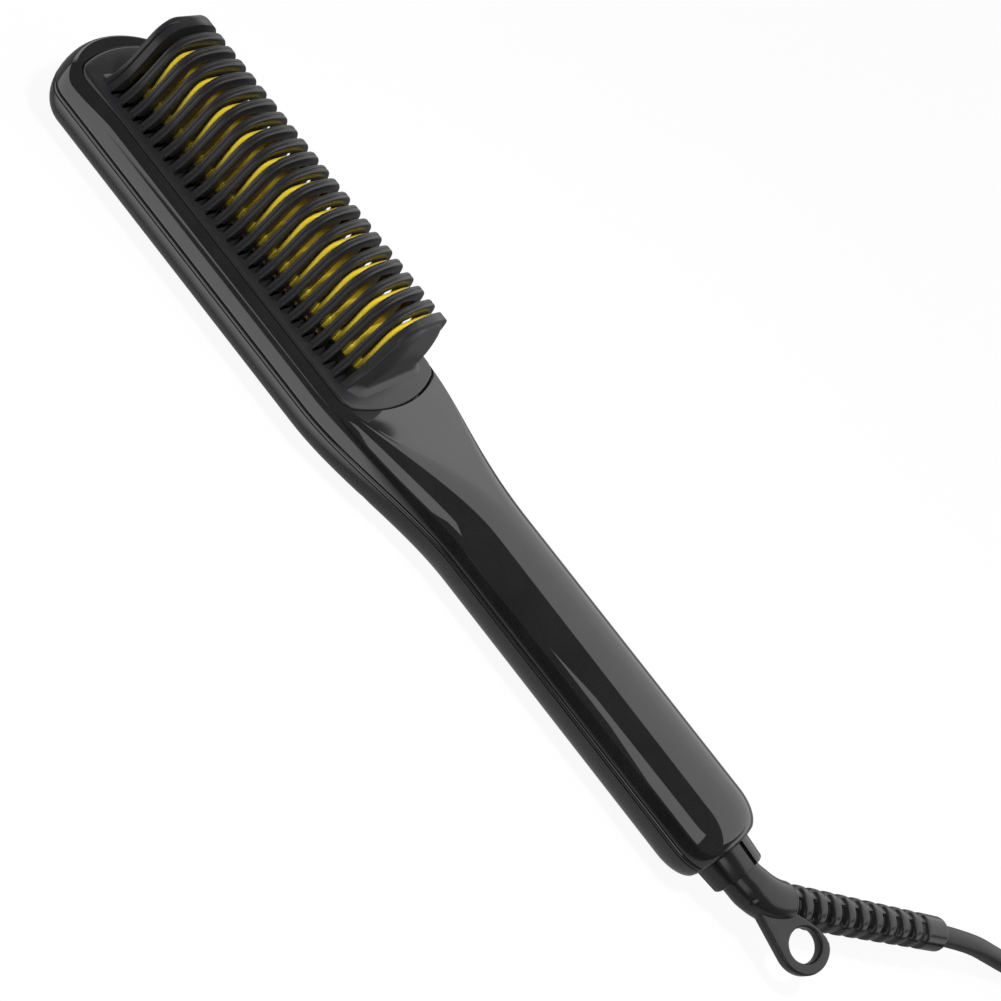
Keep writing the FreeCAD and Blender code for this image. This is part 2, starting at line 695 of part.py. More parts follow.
def button(index):
    x = BUTTON_XS[index]
    radius = button_radius(index)
    low = PANEL_BACK + BUTTON_REST_GAP
    cap = post(radius, PANEL_FACE - BUTTON_PROUD, BUTTON_TOP, x, 0)
    return cap.fuse(post(radius + BUTTON_FLANGE, low, BUTTON_TOP, x, 0)).removeSplitter()


def control_board():
    half = BOARD_WIDTH / 2
    return box(BOARD_X0, BOARD_X1, -half, half, BOARD_BOTTOM, BOARD_BOTTOM + BOARD_THICKNESS)


def tact_switch(x):
    half = SWITCH_SIDE / 2
    low = BOARD_BOTTOM - SWITCH_HEIGHT
    case = box(x - half, x + half, -half, half, low, BOARD_BOTTOM)
    return case.fuse(post(PLUNGER_RADIUS, low - PLUNGER_HEIGHT, low, x, 0)).removeSplitter()


def display_module():
    half = LENS_WIDTH / 2
    return box(LENS_X0, LENS_X0 + LENS_LENGTH, -half, half, BOARD_BOTTOM - MODULE_HEIGHT, BOARD_BOTTOM)


# Paths of straight runs and arcs, and tubes along them

def rounded_path(points):
    """Straight runs joined by tangent arcs, each as large as its runs allow: the wire and its radii."""
    edges = []
    radii = []
    start = points[0]
    for before, corner, after in zip(points, points[1:], points[2:]):
        back = before - corner
        ahead = after - corner
        trim = ARC_SHARE * min(back.Length, ahead.Length)
        one = corner + back * (trim / back.Length)
        two = corner + ahead * (trim / ahead.Length)
        half_turn = (math.pi - back.getAngle(ahead)) / 2
        radii.append(trim / math.tan(half_turn))
        edges.append(Part.LineSegment(start, one).toShape())
        edges.append(arc_through(one, corner, two))
        start = two
    edges.append(Part.LineSegment(start, points[-1]).toShape())
    return Part.Wire(edges), radii


def arc_through(start, corner, end):
    """Arc from start to end, tangent there to the lines that meet at the corner."""
    middle = (start + end) * 0.5
    out = corner - middle
    chord = (end - start).Length / 2
    turn = math.atan2(out.Length, chord)
    peak = middle + out * (chord * math.tan(turn / 2) / out.Length)
    return Part.Arc(start, peak, end).toShape()


def tube(wire, radius):
    first = wire.Edges[0]
    start = first.valueAt(first.FirstParameter)
    along = first.tangentAt(first.FirstParameter)
    ring = Part.Wire([Part.makeCircle(radius, start, along)])
    return wire.makePipeShell([ring], True, False)


def wire_pair(x0, x1, z0, z1):
    """Two insulated wires between two places inside, easing from one height to the other."""
    wires = []
    third = (x1 - x0) / 3
    for side in (-1, 1):
        y = side * WIRE_SPREAD / 2
        route = [V(x0, y, z0), V(x0 + third, y, z0), V(x1 - third, y, z1), V(x1, y, z1)]
        path, radii = rounded_path(route)
        wires.append(tube(path, WIRE_RADIUS))
    return wires


# Cord swivel

def swivel_collar():
    collar = rod(COLLAR_RADIUS, END_X - END_WALL, END_X)
    tip_x = COLLAR_END_X + COLLAR_SKIRT
    tip = Part.makeCone(COLLAR_RADIUS, COLLAR_TIP_RADIUS, tip_x - END_X, V(END_X, 0, AXIS_Z), V(1, 0, 0))
    collar = collar.fuse(tip.cut(rod(COLLAR_SKIRT_RADIUS, COLLAR_END_X, tip_x + 1)))
    collar = collar.fuse(rod(COLLAR_FLANGE_RADIUS, COLLAR_INNER_X, END_X - END_WALL))
    collar = collar.cut(rod(SPINDLE_RADIUS + RUN_CLEARANCE, COLLAR_INNER_X - 1, COLLAR_END_X + 1))
    half = LUG_SLOT_WIDTH / 2
    for index in range(LUG_COUNT):
        slot = box(END_X, tip_x + 1, -half, half, COLLAR_RADIUS - LUG_SLOT_DEPTH, COLLAR_RADIUS + 1)
        slot = slot.fuse(box(COLLAR_END_X, tip_x + 1, -half, half, COLLAR_SKIRT_RADIUS - 1, COLLAR_RADIUS + 1))
        slot.rotate(V(0, 0, 0), V(1, 0, 0), LUG_TURN + index * 360.0 / LUG_COUNT)
        slot.translate(V(0, 0, AXIS_Z))
        collar = collar.cut(slot)
    return collar.removeSplitter()


def swivel_spindle():
    x1 = BOOT_X0 + SPINDLE_OUT
    flange_x1 = COLLAR_INNER_X - SWIVEL_GAP
    spindle = rod(SPINDLE_RADIUS, SPINDLE_X0, x1)
    spindle = spindle.fuse(rod(SPINDLE_FLANGE_RADIUS, flange_x1 - SPINDLE_FLANGE, flange_x1))
    return spindle.cut(rod(SPINDLE_BORE, SPINDLE_X0 - 1, x1 + 1)).removeSplitter()


def ring_xs():
    return [RING_X0, RING_X0 + RING_PITCH]


def slip_rings():
    bore = rod(SPINDLE_RADIUS, SPINDLE_X0, COLLAR_INNER_X)
    return [rod(RING_RADIUS, x, x + RING_WIDTH).cut(bore) for x in ring_xs()]


def leaf_top():
    return AXIS_Z - RING_RADIUS - SWIVEL_GAP


def carrier_ends():
    return RING_X0 - CARRIER_MARGIN, RING_X0 + RING_PITCH + RING_WIDTH + CARRIER_MARGIN


def contact_springs():
    half = LEAF_LENGTH / 2
    top = leaf_top()
    return [box(x, x + RING_WIDTH, -half, half, top - LEAF_THICKNESS, top) for x in ring_xs()]


def carrier_seat():
    """Pad on the back shell's floor that carries the contact block."""
    x0, x1 = carrier_ends()
    half = CARRIER_WIDTH / 2
    return box(x0, x1, -half, half, 0.0, CARRIER_SEAT)


def contact_carrier():
    x0, x1 = carrier_ends()
    half = CARRIER_WIDTH / 2
    return box(x0, x1, -half, half, CARRIER_SEAT, leaf_top() - LEAF_THICKNESS)


def elbow_points():
    """Start, corner and end of the boot's bent run in the plane of the axis."""
    reach = ELBOW_RADIUS * math.tan(math.radians(ELBOW_TURN / 2))
    start = V(BOOT_X0, 0, AXIS_Z)
    corner = V(BOOT_X0 + ELBOW_STRAIGHT + reach, 0, AXIS_Z)
    end = corner + V(SLEEVE_COS, SLEEVE_SIN, 0) * (reach + ELBOW_RUN)
    return start, corner, end, reach


def sleeve_exit():
    """Point where the cord leaves the boot."""
    return elbow_points()[2] + V(SLEEVE_COS, SLEEVE_SIN, 0) * SLEEVE_LENGTH


def elbow():
    start, corner, end, reach = elbow_points()
    one = corner - V(reach, 0, 0)
    two = corner + V(SLEEVE_COS, SLEEVE_SIN, 0) * reach
    path = Part.Wire([
        Part.LineSegment(start, one).toShape(),
        arc_through(one, corner, two),
        Part.LineSegment(two, end).toShape(),
    ])
    return tube(path, BOOT_RADIUS)


def ribbed_sleeve():
    """Tapered bend protector: slots on its two sides, staggered by half a pitch, over a solid core."""
    cone = Part.makeCone(SLEEVE_START_RADIUS, SLEEVE_END_RADIUS, SLEEVE_LENGTH, V(0, 0, 0), V(1, 0, 0))
    wide = 2 * SLEEVE_START_RADIUS
    core = rod(SLEEVE_CORE_RADIUS, -1, SLEEVE_LENGTH + 1, 0, 0)
    count = int((SLEEVE_LENGTH - 2 * SLEEVE_PLAIN) / SLEEVE_PITCH)
    slots = []
    for index in range(count):
        for side, shift in ((-1, 0.0), (1, SLEEVE_PITCH / 2)):
            x = SLEEVE_PLAIN + index * SLEEVE_PITCH + shift
            near = side * SLEEVE_WEB / 2
            far = side * wide
            half = SLEEVE_SLOT_HALF
            slots.append(box(x, x + SLEEVE_SLOT, min(near, far), max(near, far), -half, half))
    cut = Part.makeCompound([slot.cut(core) for slot in slots])
    sleeve = cone.cut(cut)
    sleeve.rotate(V(0, 0, 0), V(1, 0, 0), SLEEVE_ROLL)
    sleeve.rotate(V(0, 0, 0), V(0, 0, 1), ELBOW_TURN)
    sleeve.translate(elbow_points()[2])
    return sleeve


def loop_centre():
    corner = elbow_points()[1]
    return V(corner.x + LOOP_FORWARD, corner.y + LOOP_SIDE, AXIS_Z)


def flat_plate(points):
    wire = Part.makePolygon(points + [points[0]])
    return Part.Face(wire).extrude(V(0, 0, LOOP_THICKNESS))


def hang_loop():
    """Flat loop with a round hole, tilted about the line from the elbow's corner to its middle."""
    low = AXIS_Z - LOOP_THICKNESS / 2
    centre = loop_centre()
    start, corner, end, reach = elbow_points()
    radius = LOOP_HOLE_RADIUS + LOOP_BAND
    disc = post(radius, low, low + LOOP_THICKNESS, centre.x, centre.y)
    middle = V(centre.x, centre.y, low)
    along = V(SLEEVE_COS, SLEEVE_SIN, 0)
    across = V(SLEEVE_SIN, -SLEEVE_COS, 0)
    foot = V(corner.x, corner.y, low)
    near_web = flat_plate([foot, foot + V(0, -BOOT_RADIUS, 0), middle + V(0, -radius, 0), middle])
    far_end = foot + along * ((end - corner).Length + SLEEVE_PLAIN)
    far_web = flat_plate([far_end, foot, middle, middle + across * radius, middle + along * radius])
    loop = disc.fuse(near_web).fuse(far_web)
    loop = loop.cut(post(LOOP_HOLE_RADIUS, 0, 2 * AXIS_Z, centre.x, centre.y))
    loop.rotate(corner, centre - corner, LOOP_TILT)
    return loop


def swivel_boot():
    boot = elbow().fuse(ribbed_sleeve()).fuse(hang_loop())
    return boot.cut(rod(SPINDLE_RADIUS, BOOT_X0 - 1, BOOT_X0 + SPINDLE_OUT))


# Cord, its coil and its plug

def lead_points():
    start = sleeve_exit()
    points = []
    for along, right, height in LEAD_POINTS:
        x = start.x + along * SLEEVE_COS + right * SLEEVE_SIN
        y = start.y + along * SLEEVE_SIN - right * SLEEVE_COS
        points.append(V(x, y, height))
    return points


def coil_frame():
    """Start of the coil's spiral, its heading on the floor and its centre to the right."""
    points = lead_points()
    heading = points[-1] - points[-2]
    heading.z = 0.0
    heading.normalize()
    start = points[-1] + heading * (2 * CORD_RADIUS)
    right = V(heading.y, -heading.x, 0)
    centre = start + right * coil_radius(0.0)
    centre.z = 0.0
    return points[-1], heading, centre, math.atan2(-right.y, -right.x)


def coil_radius(turn):
    return COIL_MIN_RADIUS + COIL_PITCH * abs(turn - COIL_TURNS / 2)


def coil_point(turn):
    """Point of the coil after some turns: spirals in on the floor, climbs a layer, spirals out."""
    start, heading, centre, angle0 = coil_frame()
    angle = angle0 - 2 * math.pi * turn
    radius = coil_radius(turn)
    climb = ease((turn - COIL_TURNS / 2) * 2 + 0.5)
    height = COIL_LIFT + CORD_RADIUS + COIL_PITCH * climb
    return centre + V(radius * math.cos(angle), radius * math.sin(angle), height)


def coil_tangent(turn):
    step = 0.01
    way = coil_point(min(turn + step, COIL_TURNS)) - coil_point(max(turn - step, 0.0))
    way.normalize()
    return way


def biarc(start, way0, end, way1):
    """Two tangent arcs from one point and heading to another."""
    chord = end - start
    both = way0 + way1
    spread = 2.0 * (1.0 - way0.dot(way1))
    ahead = chord.dot(both)
    reach = (-ahead + math.sqrt(ahead * ahead + spread * chord.dot(chord))) / spread
    one = start + way0 * reach
    two = end - way1 * reach
    joint = (one + two) * 0.5
    return [arc_through(start, one, joint), arc_through(joint, two, end)]


def coil_path():
    quarters = int(round(COIL_TURNS * 4))
    points = [coil_point(i / 4.0) for i in range(quarters + 1)]
    ways = [coil_tangent(i / 4.0) for i in range(quarters + 1)]
    first = points[0] - ways[0] * (2 * CORD_RADIUS)
    last = points[-1] + ways[-1] * COIL_TAIL
    edges = [Part.LineSegment(first, points[0]).toShape()]
    for i in range(quarters):
        edges += biarc(points[i], ways[i], points[i + 1], ways[i + 1])
    edges.append(Part.LineSegment(points[-1], last).toShape())
    return Part.Wire(edges), last, ways[-1]


def least_self_gap():
    """Smallest clear distance between turns of the coil, measured on points."""
    steps = int(COIL_TURNS * 72)
    points = [coil_point(i / 72.0) for i in range(steps + 1)]
    best = 1.0e9
    for i, one in enumerate(points):
        for two in points[i + 24:]:
            best = min(best, (one - two).Length)
    return best - 2 * CORD_RADIUS


def cord_tie():
    """Strap round all the turns at one place of the coil."""
    start, heading, centre, angle0 = coil_frame()
    inner = coil_radius(COIL_TURNS / 2) - CORD_RADIUS - TIE_CLEARANCE
    outer = coil_radius(0.0) + CORD_RADIUS + TIE_CLEARANCE
    low = COIL_LIFT - TIE_CLEARANCE
    high = COIL_LIFT + 2 * CORD_RADIUS + COIL_PITCH + TIE_CLEARANCE
    half = TIE_WIDTH / 2
    inner -= half * half / (2 * inner)
    thick = TIE_THICKNESS
    strap = box(inner - thick, outer + thick, -half, half, low - thick, high + thick)
    strap = strap.cut(box(inner, outer, -half - 1, half + 1, low, high))
    strap.rotate(V(0, 0, 0), V(0, 0, 1), TIE_ANGLE + math.degrees(angle0))
    strap.translate(centre)
    return strap


def plug_frame():
    path, end, way = coil_path()
    way = V(way.x, way.y, 0)
    way.normalize()
    return end, math.degrees(math.atan2(way.y, way.x))


def place_plug(shape):
    end, turn = plug_frame()
    shape.rotate(V(0, 0, 0), V(0, 0, 1), turn)
    shape.translate(V(end.x, end.y, PLUG_AXIS_Z))
    return shape


def blades():
    x0 = PLUG_RELIEF_LENGTH + PLUG_LENGTH - BLADE_ROOT
    x1 = PLUG_RELIEF_LENGTH + PLUG_LENGTH + BLADE_LENGTH
    half = BLADE_WIDTH / 2
    thick = BLADE_THICKNESS / 2
    middle = BLADE_SPREAD / 2
    return [box(x0, x1, side * middle - thick, side * middle + thick, -half, half) for side in (-1, 1)]


def plug_body():
    relief = Part.makeCone(PLUG_NOSE_RADIUS, PLUG_RELIEF_RADIUS, PLUG_RELIEF_LENGTH, V(0, 0, 0), V(1, 0, 0))
    x0 = PLUG_RELIEF_LENGTH
    half = PLUG_WIDTH / 2
    block = box(x0, x0 + PLUG_LENGTH, -half, half, -PLUG_AXIS_Z, PLUG_AXIS_Z)
    lengthwise = [e for e in block.Edges if abs(e.Vertexes[0].X - e.Vertexes[-1].X) > PLUG_LENGTH / 2]
    block = block.makeFillet(PLUG_CORNER, lengthwise)
    return relief.fuse(block).cut(Part.makeCompound(blades()))


def build():
    os.makedirs("parts", exist_ok=True)
    save(front_shell(), "front_shell")
    save(back_shell(), "back_shell")
    save(comb_guard().removeSplitter(), "comb_guard")
    save(heater_plate().removeSplitter(), "heater_plate")
    save(centred_slab(ELEMENT_LENGTH, ELEMENT_WIDTH, ELEMENT_BOTTOM, PLATE_BOTTOM), "heater_element")
    wide = 2 * SHEET_MARGIN
    sheet = centred_slab(ELEMENT_LENGTH + wide, ELEMENT_WIDTH + wide, SHEET_BOTTOM, ELEMENT_BOTTOM)
    save(sheet, "insulating_sheet")
    save(heater_clamp().removeSplitter(), "heater_clamp")
    save(clamp_rider(FUSE_RADIUS, FUSE_LENGTH, 1), "thermal_fuse")
    save(clamp_rider(SENSOR_RADIUS, SENSOR_LENGTH, -1), "temperature_sensor")
    clamp_low = LEDGE_TOP - CLAMP_THICKNESS
    save_group([screw(x, 0, clamp_low, HEATER_SCREW_LENGTH) for x in tongue_xs()], "heater_screws")
    save(control_panel().removeSplitter(), "control_panel")
    save(display_lens(), "display_lens")
    for index, name in enumerate(("minus_button", "plus_button", "power_button")):
        save(button(index), name)
    save(control_board(), "control_board")
    save_group([tact_switch(x) for x in BUTTON_XS], "tact_switches")
    save(display_module(), "display_module")
    board_middle = BOARD_BOTTOM + BOARD_THICKNESS / 2
    heater_side = CAVITY_X1 - WIRE_IN
    below_ledge = LEDGE_BOTTOM - WIRE_RADIUS - WIRE_BELOW_LEDGE
    wires = wire_pair(heater_side, BOARD_X0 - WIRE_GAP, below_ledge, board_middle)
    save_group(wires, "heater_wires")
    carrier_middle = leaf_top() - LEAF_THICKNESS - WIRE_RADIUS
    wires = wire_pair(BOARD_X1 + WIRE_GAP, carrier_ends()[0] - WIRE_GAP, board_middle, carrier_middle)
    save_group(wires, "supply_wires")
    save_group([screw(x, y, BORE_DEPTH, SHELL_SCREW_LENGTH) for x, y in screw_places()], "shell_screws")
    save(swivel_collar().removeSplitter(), "swivel_collar")
    save(contact_carrier(), "contact_carrier")
    save_group(contact_springs(), "contact_springs")
    save(swivel_spindle(), "swivel_spindle")
    save_group(slip_rings(), "slip_rings")
    save(swivel_boot().removeSplitter(), "swivel_boot")
    path, radii = rounded_path(lead_points())
    print("cord lead radii", [round(r, 1) for r in radii], "length", round(path.Length, 1))
    lead = tube(path, CORD_RADIUS)
    print("cord lead volume share", round(lead.Volume / (math.pi * CORD_RADIUS ** 2 * path.Length), 4))
    save(lead, "cord_lead")
    path = coil_path()[0]
    coil = tube(path, CORD_RADIUS)
    print("coil length", round(path.Length, 1), "least self gap", round(least_self_gap(), 2))
    print("coil volume share", round(coil.Volume / (math.pi * CORD_RADIUS ** 2 * path.Length), 4))
    save(coil, "cord_coil")
    save(cord_tie().removeSplitter(), "cord_tie")
    save(place_plug(plug_body().removeSplitter()), "plug_body")
    save_group([place_plug(blade) for blade in blades()], "plug_blades")


if __name__ == "__main__":
    build()
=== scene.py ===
"""Beard straightener: the visible pieces, finishes and studio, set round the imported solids."""

from math import asin, atan2, copysign, cos, degrees, hypot, pi, radians, sin, sqrt, tan

import bmesh
import bpy
from mathutils import Matrix, Vector


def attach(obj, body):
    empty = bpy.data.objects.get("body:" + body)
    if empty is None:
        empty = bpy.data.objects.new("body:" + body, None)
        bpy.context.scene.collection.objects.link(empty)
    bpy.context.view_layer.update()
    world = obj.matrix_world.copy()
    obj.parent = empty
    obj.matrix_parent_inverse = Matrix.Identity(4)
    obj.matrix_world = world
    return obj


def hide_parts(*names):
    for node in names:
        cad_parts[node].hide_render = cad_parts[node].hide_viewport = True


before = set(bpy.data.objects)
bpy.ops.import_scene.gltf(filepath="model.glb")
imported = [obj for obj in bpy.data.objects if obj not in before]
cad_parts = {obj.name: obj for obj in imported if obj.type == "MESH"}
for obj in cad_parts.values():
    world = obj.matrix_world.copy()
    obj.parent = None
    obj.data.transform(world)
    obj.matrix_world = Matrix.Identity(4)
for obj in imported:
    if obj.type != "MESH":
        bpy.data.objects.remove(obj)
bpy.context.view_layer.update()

bl_info = {
    "name": "Beard straightener",
    "version": (1, 0, 0),
    "blender": (4, 5, 0),
    "location": "View3D > Sidebar > Straightener",
    "description": "Builds a heated beard comb with its swivel cord, finishes and studio",
    "category": "Object",
}

# Lengths in millimetres, in the frame's own axes, and the usual angle of a crisp edge in degrees
MM = 0.001
CRISP = 38.0
UP = Vector((0.0, 0.0, 1.0))
SEAM = 11.8
TIP_X = -112.5
TIP_REACH = 12.5
NECK_X = -18.0
NECK_LENGTH = 52.0
END_X = 125.0
END_ROUND = 9.0
END_LEFT = 0.664
BORE_RADIUS = 7.5
FIRST_RIB = -107.35
RIB_COUNT = 23
RIB_SIDE = 1.05
FOOT = 15.6
BASE_TOP = 20.0
CREST = 40.8
BUTTONS = (("minus", 45.0, 3.0), ("plus", 54.0, 3.0), ("power", 63.0, 3.4))
BUTTON_GAP = 0.3
INK_LEVELS = (0.46, 0.56)
# The boot: its bend, the bend protector after it and the hang loop
BOOT_RADIUS = 5.5
BEND_START = 131.4
BEND_RADIUS = 16.2
BEND_TURN = radians(50.5)
BEND_REACH = BEND_RADIUS * tan(BEND_TURN / 2)
BEND_CORNER = Vector((BEND_START + BEND_REACH, 0.0, SEAM))
SLEEVE_LENGTH = 59.5
SLEEVE_WAY = Vector((cos(BEND_TURN), sin(BEND_TURN), 0.0))
SLEEVE_START = BEND_CORNER + SLEEVE_WAY * (BEND_REACH + 0.5)
LOOP_PLACE = Vector((15.0, 2.3, 0.0))
LOOP_RADIUS = 7.0
LOOP_HOLE = 4.2
LOOP_HALF = 1.7
LOOP_EDGE = 0.9
LOOP_ARC = (-97.8, 46.0)
LOOP_TILT = radians(28.0)
# The cord: its way along and aside from the sleeve with its height, then its coil and plug
LEAD_ROUTE = [
    (0, 0, 11.8), (15, 0, 11.2), (31, 0.6, 7.2), (47, 2.2, 4.2), (63, 5.2, 3.2), (78, 9.4, 3.9),
]
COIL_LOW = 3.9
COIL_CLIMB = 6.1
COIL_STEPS = 24
STRAIGHT_END = 5.6
PLUG_HEIGHT = 10.0


def size(name, description, default):
    """A length that a user may change, in millimetres in the script and metres in the panel."""
    return bpy.props.FloatProperty(
        name=name, description=description, default=default * MM, unit="LENGTH", precision=5)


def tint(name, description, code):
    """A colour that a user may change, kept as linear values of an sRGB hex code."""
    return bpy.props.FloatVectorProperty(
        name=name, description=description, default=linear(code)[:3], subtype="COLOR", size=3,
        min=0.0, max=1.0)


def linear(code):
    """sRGB hex to linear colour with alpha."""
    channels = [int(code[i:i + 2], 16) / 255 for i in (1, 3, 5)]
    return [c / 12.92 if c <= 0.04045 else ((c + 0.055) / 1.055) ** 2.4 for c in channels] + [1.0]


class ShellSizes(bpy.types.PropertyGroup):
    """Sizes of the two housing halves"""
    head_half: size("Head half width", "Half the width of the comb head", 22.0)
    neck_taper: size("Neck taper", "How much narrower each side is at the handle", 9.2)
    rim_height: size("Rim height", "Top of the head", 19.3)
    handle_rise: size("Handle rise", "How much higher the handle stands than the head", 5.2)
    wall: size("Wall", "Thickness of the moulded wall", 2.0)
    seam_gap: size("Seam relief", "Depth of the parting groove", 0.9)


class CombSizes(bpy.types.PropertyGroup):
    """Sizes of the guard's ribs and the heated fins"""
    pitch: size("Rib pitch", "Distance from rib to rib", 4.18)
    rib: size("Rib thickness", "Thickness of one guard rib", 2.1)
    depth: size("Rib depth", "Depth of a rib's bar from its outer edge", 4.2)
    fin: size("Fin thickness", "Thickness of one heated fin", 1.4)
    groove: size("Rib groove", "Depth of the fine groove along a rib", 0.22)


class CordSizes(bpy.types.PropertyGroup):
    """Sizes of the supply cord"""
    radius: size("Cord radius", "Radius of the cord's jacket", 2.8)
    coil: size("Coil radius", "Radius of the coil's tightest turn", 22.2)
    spacing: size("Turn spacing", "Distance from turn to turn", 6.1)
    turns: bpy.props.FloatProperty(
        name="Turns", description="Turns of the stored coil", default=7.5)


class FinishColours(bpy.types.PropertyGroup):
    """Main colours"""
    shell: tint("Gloss shell", "Moulded high-gloss plastic of the housing", "#0c0c0d")
    guard: tint("Satin guard", "Spark-textured plastic of the comb guard", "#141316")
    gold: tint("Gold plate", "Ceramic-gold coating of the heated fins", "#e6c80a")
    rubber: tint("Soft boot", "Rubbery plastic of boot and plug", "#0e0e0f")
    jacket: tint("Cord jacket", "Soft plastic jacket of the cord", "#121213")


def add(tree, kind, sockets=None, **settings):
    """One node with its settings, its plain values and its links."""
    node = tree.nodes.new(kind)
    for key, value in settings.items():
        setattr(node, key, value)
    for key, value in (sockets or {}).items():
        if isinstance(value, bpy.types.NodeSocket):
            tree.links.new(value, node.inputs[key])
        else:
            node.inputs[key].default_value = value
    return node


def bare_tree(owner):
    """Empty node tree of a material or a world."""
    owner.use_nodes = True
    owner.node_tree.nodes.clear()
    return owner.node_tree


def ramp(tree, value, low, high, at_low, at_high):
    """A value carried from one span to another and held at both ends."""
    span = {"Value": value, "From Min": low, "From Max": high, "To Min": at_low, "To Max": at_high}
    return add(tree, "ShaderNodeMapRange", span).outputs["Result"]


def blend(tree, share, low, high):
    """One of two values, or a share between them."""
    return add(tree, "ShaderNodeMix", {0: share, 2: low, 3: high}, data_type="FLOAT").outputs[0]


def axes(tree, kind):
    """X, Y and Z of a place in one kind of coordinates."""
    place = add(tree, "ShaderNodeTexCoord").outputs[kind]
    return add(tree, "ShaderNodeSeparateXYZ", {0: place}).outputs


def ray_kinds(tree):
    """Whether a ray comes from the camera, and whether it comes off a glossy or clear surface."""
    path = add(tree, "ShaderNodeLightPath").outputs
    seen = add(tree, "ShaderNodeMath", {0: path["Is Glossy Ray"], 1: path["Is Transmission Ray"]},
               operation="MAXIMUM")
    return path["Is Camera Ray"], seen.outputs[0]


def grain(name, tones, grit, depth, rough, spread, ior, metal=0.0, sheen=0.0):
    """Finish whose colour, roughness and bump follow one grain of a real size in millimetres."""
    finish = bpy.data.materials.new(name)
    tree = bare_tree(finish)
    place = add(tree, "ShaderNodeTexCoord").outputs["Object"]
    noise = add(tree, "ShaderNodeTexNoise", {
        "Vector": place, "Scale": 1000 / grit, "Detail": 4.0}).outputs["Fac"]
    base, light = [linear(tone) if isinstance(tone, str) else tone for tone in tones]
    mix = add(tree, "ShaderNodeMix", {0: noise, 6: base, 7: light}, data_type="RGBA")
    bump = add(tree, "ShaderNodeBump", {"Height": noise, "Distance": depth * MM, "Strength": 0.6})
    dull = ramp(tree, noise, 0.0, 1.0, rough - spread, rough + spread)
    shader = add(tree, "ShaderNodeBsdfPrincipled", {
        "Base Color": mix.outputs[2], "Roughness": dull, "Normal": bump.outputs["Normal"],
        "IOR": ior, "Metallic": metal, "Sheen Weight": sheen, "Sheen Roughness": 0.5})
    add(tree, "ShaderNodeOutputMaterial", {"Surface": shader.outputs["BSDF"]})
    return finish


def toned(values, share):
    """A user's colour, and the same moved towards white by a share."""
    base = list(values)
    return base + [1.0], [c + (1.0 - c) * share for c in base] + [1.0]


def make_finishes(context):
    """All materials of the object, named for what the real pieces are made of."""
    tones = context.scene.straightener_colours
    # Each row: name, two colours, grain and bump in mm, roughness, its spread, refraction, metal, sheen
    rows = {
        # Polished ABS: deep black with sharp reflections and the faint waviness of a moulded skin
        "gloss": ("polished_black_ABS", toned(tones.shell, 0.01), 9.0, 0.002, 0.035, 0.015, 1.88),
        # Spark-eroded PPS: heat-proof satin plastic with a fine even grit; drawn at 0.45 mm to show
        "guard": ("spark_textured_PPS", toned(tones.guard, 0.02), 0.45, 0.01, 0.33, 0.05, 1.6),
        # Ceramic-gold coated aluminium: warm paint with a soft metallic lustre
        "gold": ("gold_ceramic_coating", toned(tones.gold, 0.08), 0.5, 0.006, 0.34, 0.05, 1.5, 0.2),
        # Thermoplastic elastomer: dark rubbery skin with soft highlights and a trace of dust at the edges
        "rubber": ("soft_elastomer", toned(tones.rubber, 0.01), 0.6, 0.008, 0.2, 0.04, 1.64, 0.0, 0.01),
        # PVC cord jacket: duller than the boot, with long faint extrusion waves
        "jacket": ("PVC_cord_jacket", toned(tones.jacket, 0.02), 1.6, 0.01, 0.44, 0.05, 1.53),
        # Satin ABS: panel, collar and spindle, finely etched, with soft highlights
        "satin": ("etched_black_ABS", ("#121214", "#18181a"), 0.5, 0.006, 0.22, 0.04, 1.74),
        # Button ABS: grey-black caps with a finger-worn sheen
        "button": ("finger_polished_ABS", ("#26262a", "#2e2e33"), 1.4, 0.004, 0.28, 0.05, 1.54),
        # Pad-printed marks: plain pale ink
        "ink": ("pad_print_ink", ("#c8c8c6", "#d8d8d6"), 0.3, 0.002, 0.5, 0.05, 1.5),
        # Smoked acrylic: near-black window with a sharp skin
        "lens": ("smoked_acrylic", ("#0b0b0d", "#101013"), 5.0, 0.001, 0.04, 0.02, 1.49),
        # Alumina: pale, dry fired ceramic with fine specks
        "ceramic": ("fired_alumina", ("#d9d4c8", "#efece4"), 0.4, 0.01, 0.6, 0.08, 1.76),
        # Mica laminate: silvery brown flakes pressed flat
        "mica": ("mica_laminate", ("#8a6f45", "#c9ad78"), 2.2, 0.006, 0.35, 0.12, 1.58),
        # Zinc-plated steel: bluish plating with soft mottling
        "steel": ("zinc_plated_steel", ("#a4a8ad", "#c3c7cb"), 0.8, 0.004, 0.32, 0.08, 1.5, 1.0),
        # Nickel plating: bright warm metal with drawn mottling
        "nickel": ("nickel_plated_brass", ("#b9b2a5", "#d4cfc4"), 0.9, 0.003, 0.22, 0.06, 1.5, 1.0),
        # Phosphor bronze: rolled spring strip
        "bronze": ("phosphor_bronze", ("#9a6838", "#c08a50"), 0.7, 0.003, 0.3, 0.06, 1.5, 1.0),
        # Glass-epoxy board under green solder mask, faintly mottled
        "board": ("solder_mask_board", ("#0e3f22", "#17583a"), 0.9, 0.005, 0.3, 0.06, 1.55),
        # Moulded nylon of switches and the display frame
        "switch": ("moulded_nylon", ("#17171a", "#222226"), 0.5, 0.008, 0.45, 0.06, 1.53),
        # Glass sleeve of the wires: pale, rough and dry
        "sleeve": ("braided_glass_sleeve", ("#b8b2a2", "#ded9cc"), 0.6, 0.03, 0.7, 0.08, 1.5),
    }
    return {key: grain(*row) for key, row in rows.items()}


finishes = {}


def smooth(mesh, angle):
    """Smooth faces that stay crisp where they meet at more than an angle in degrees."""
    mesh.shade_smooth()
    mesh.set_sharp_from_angle(angle=radians(angle))


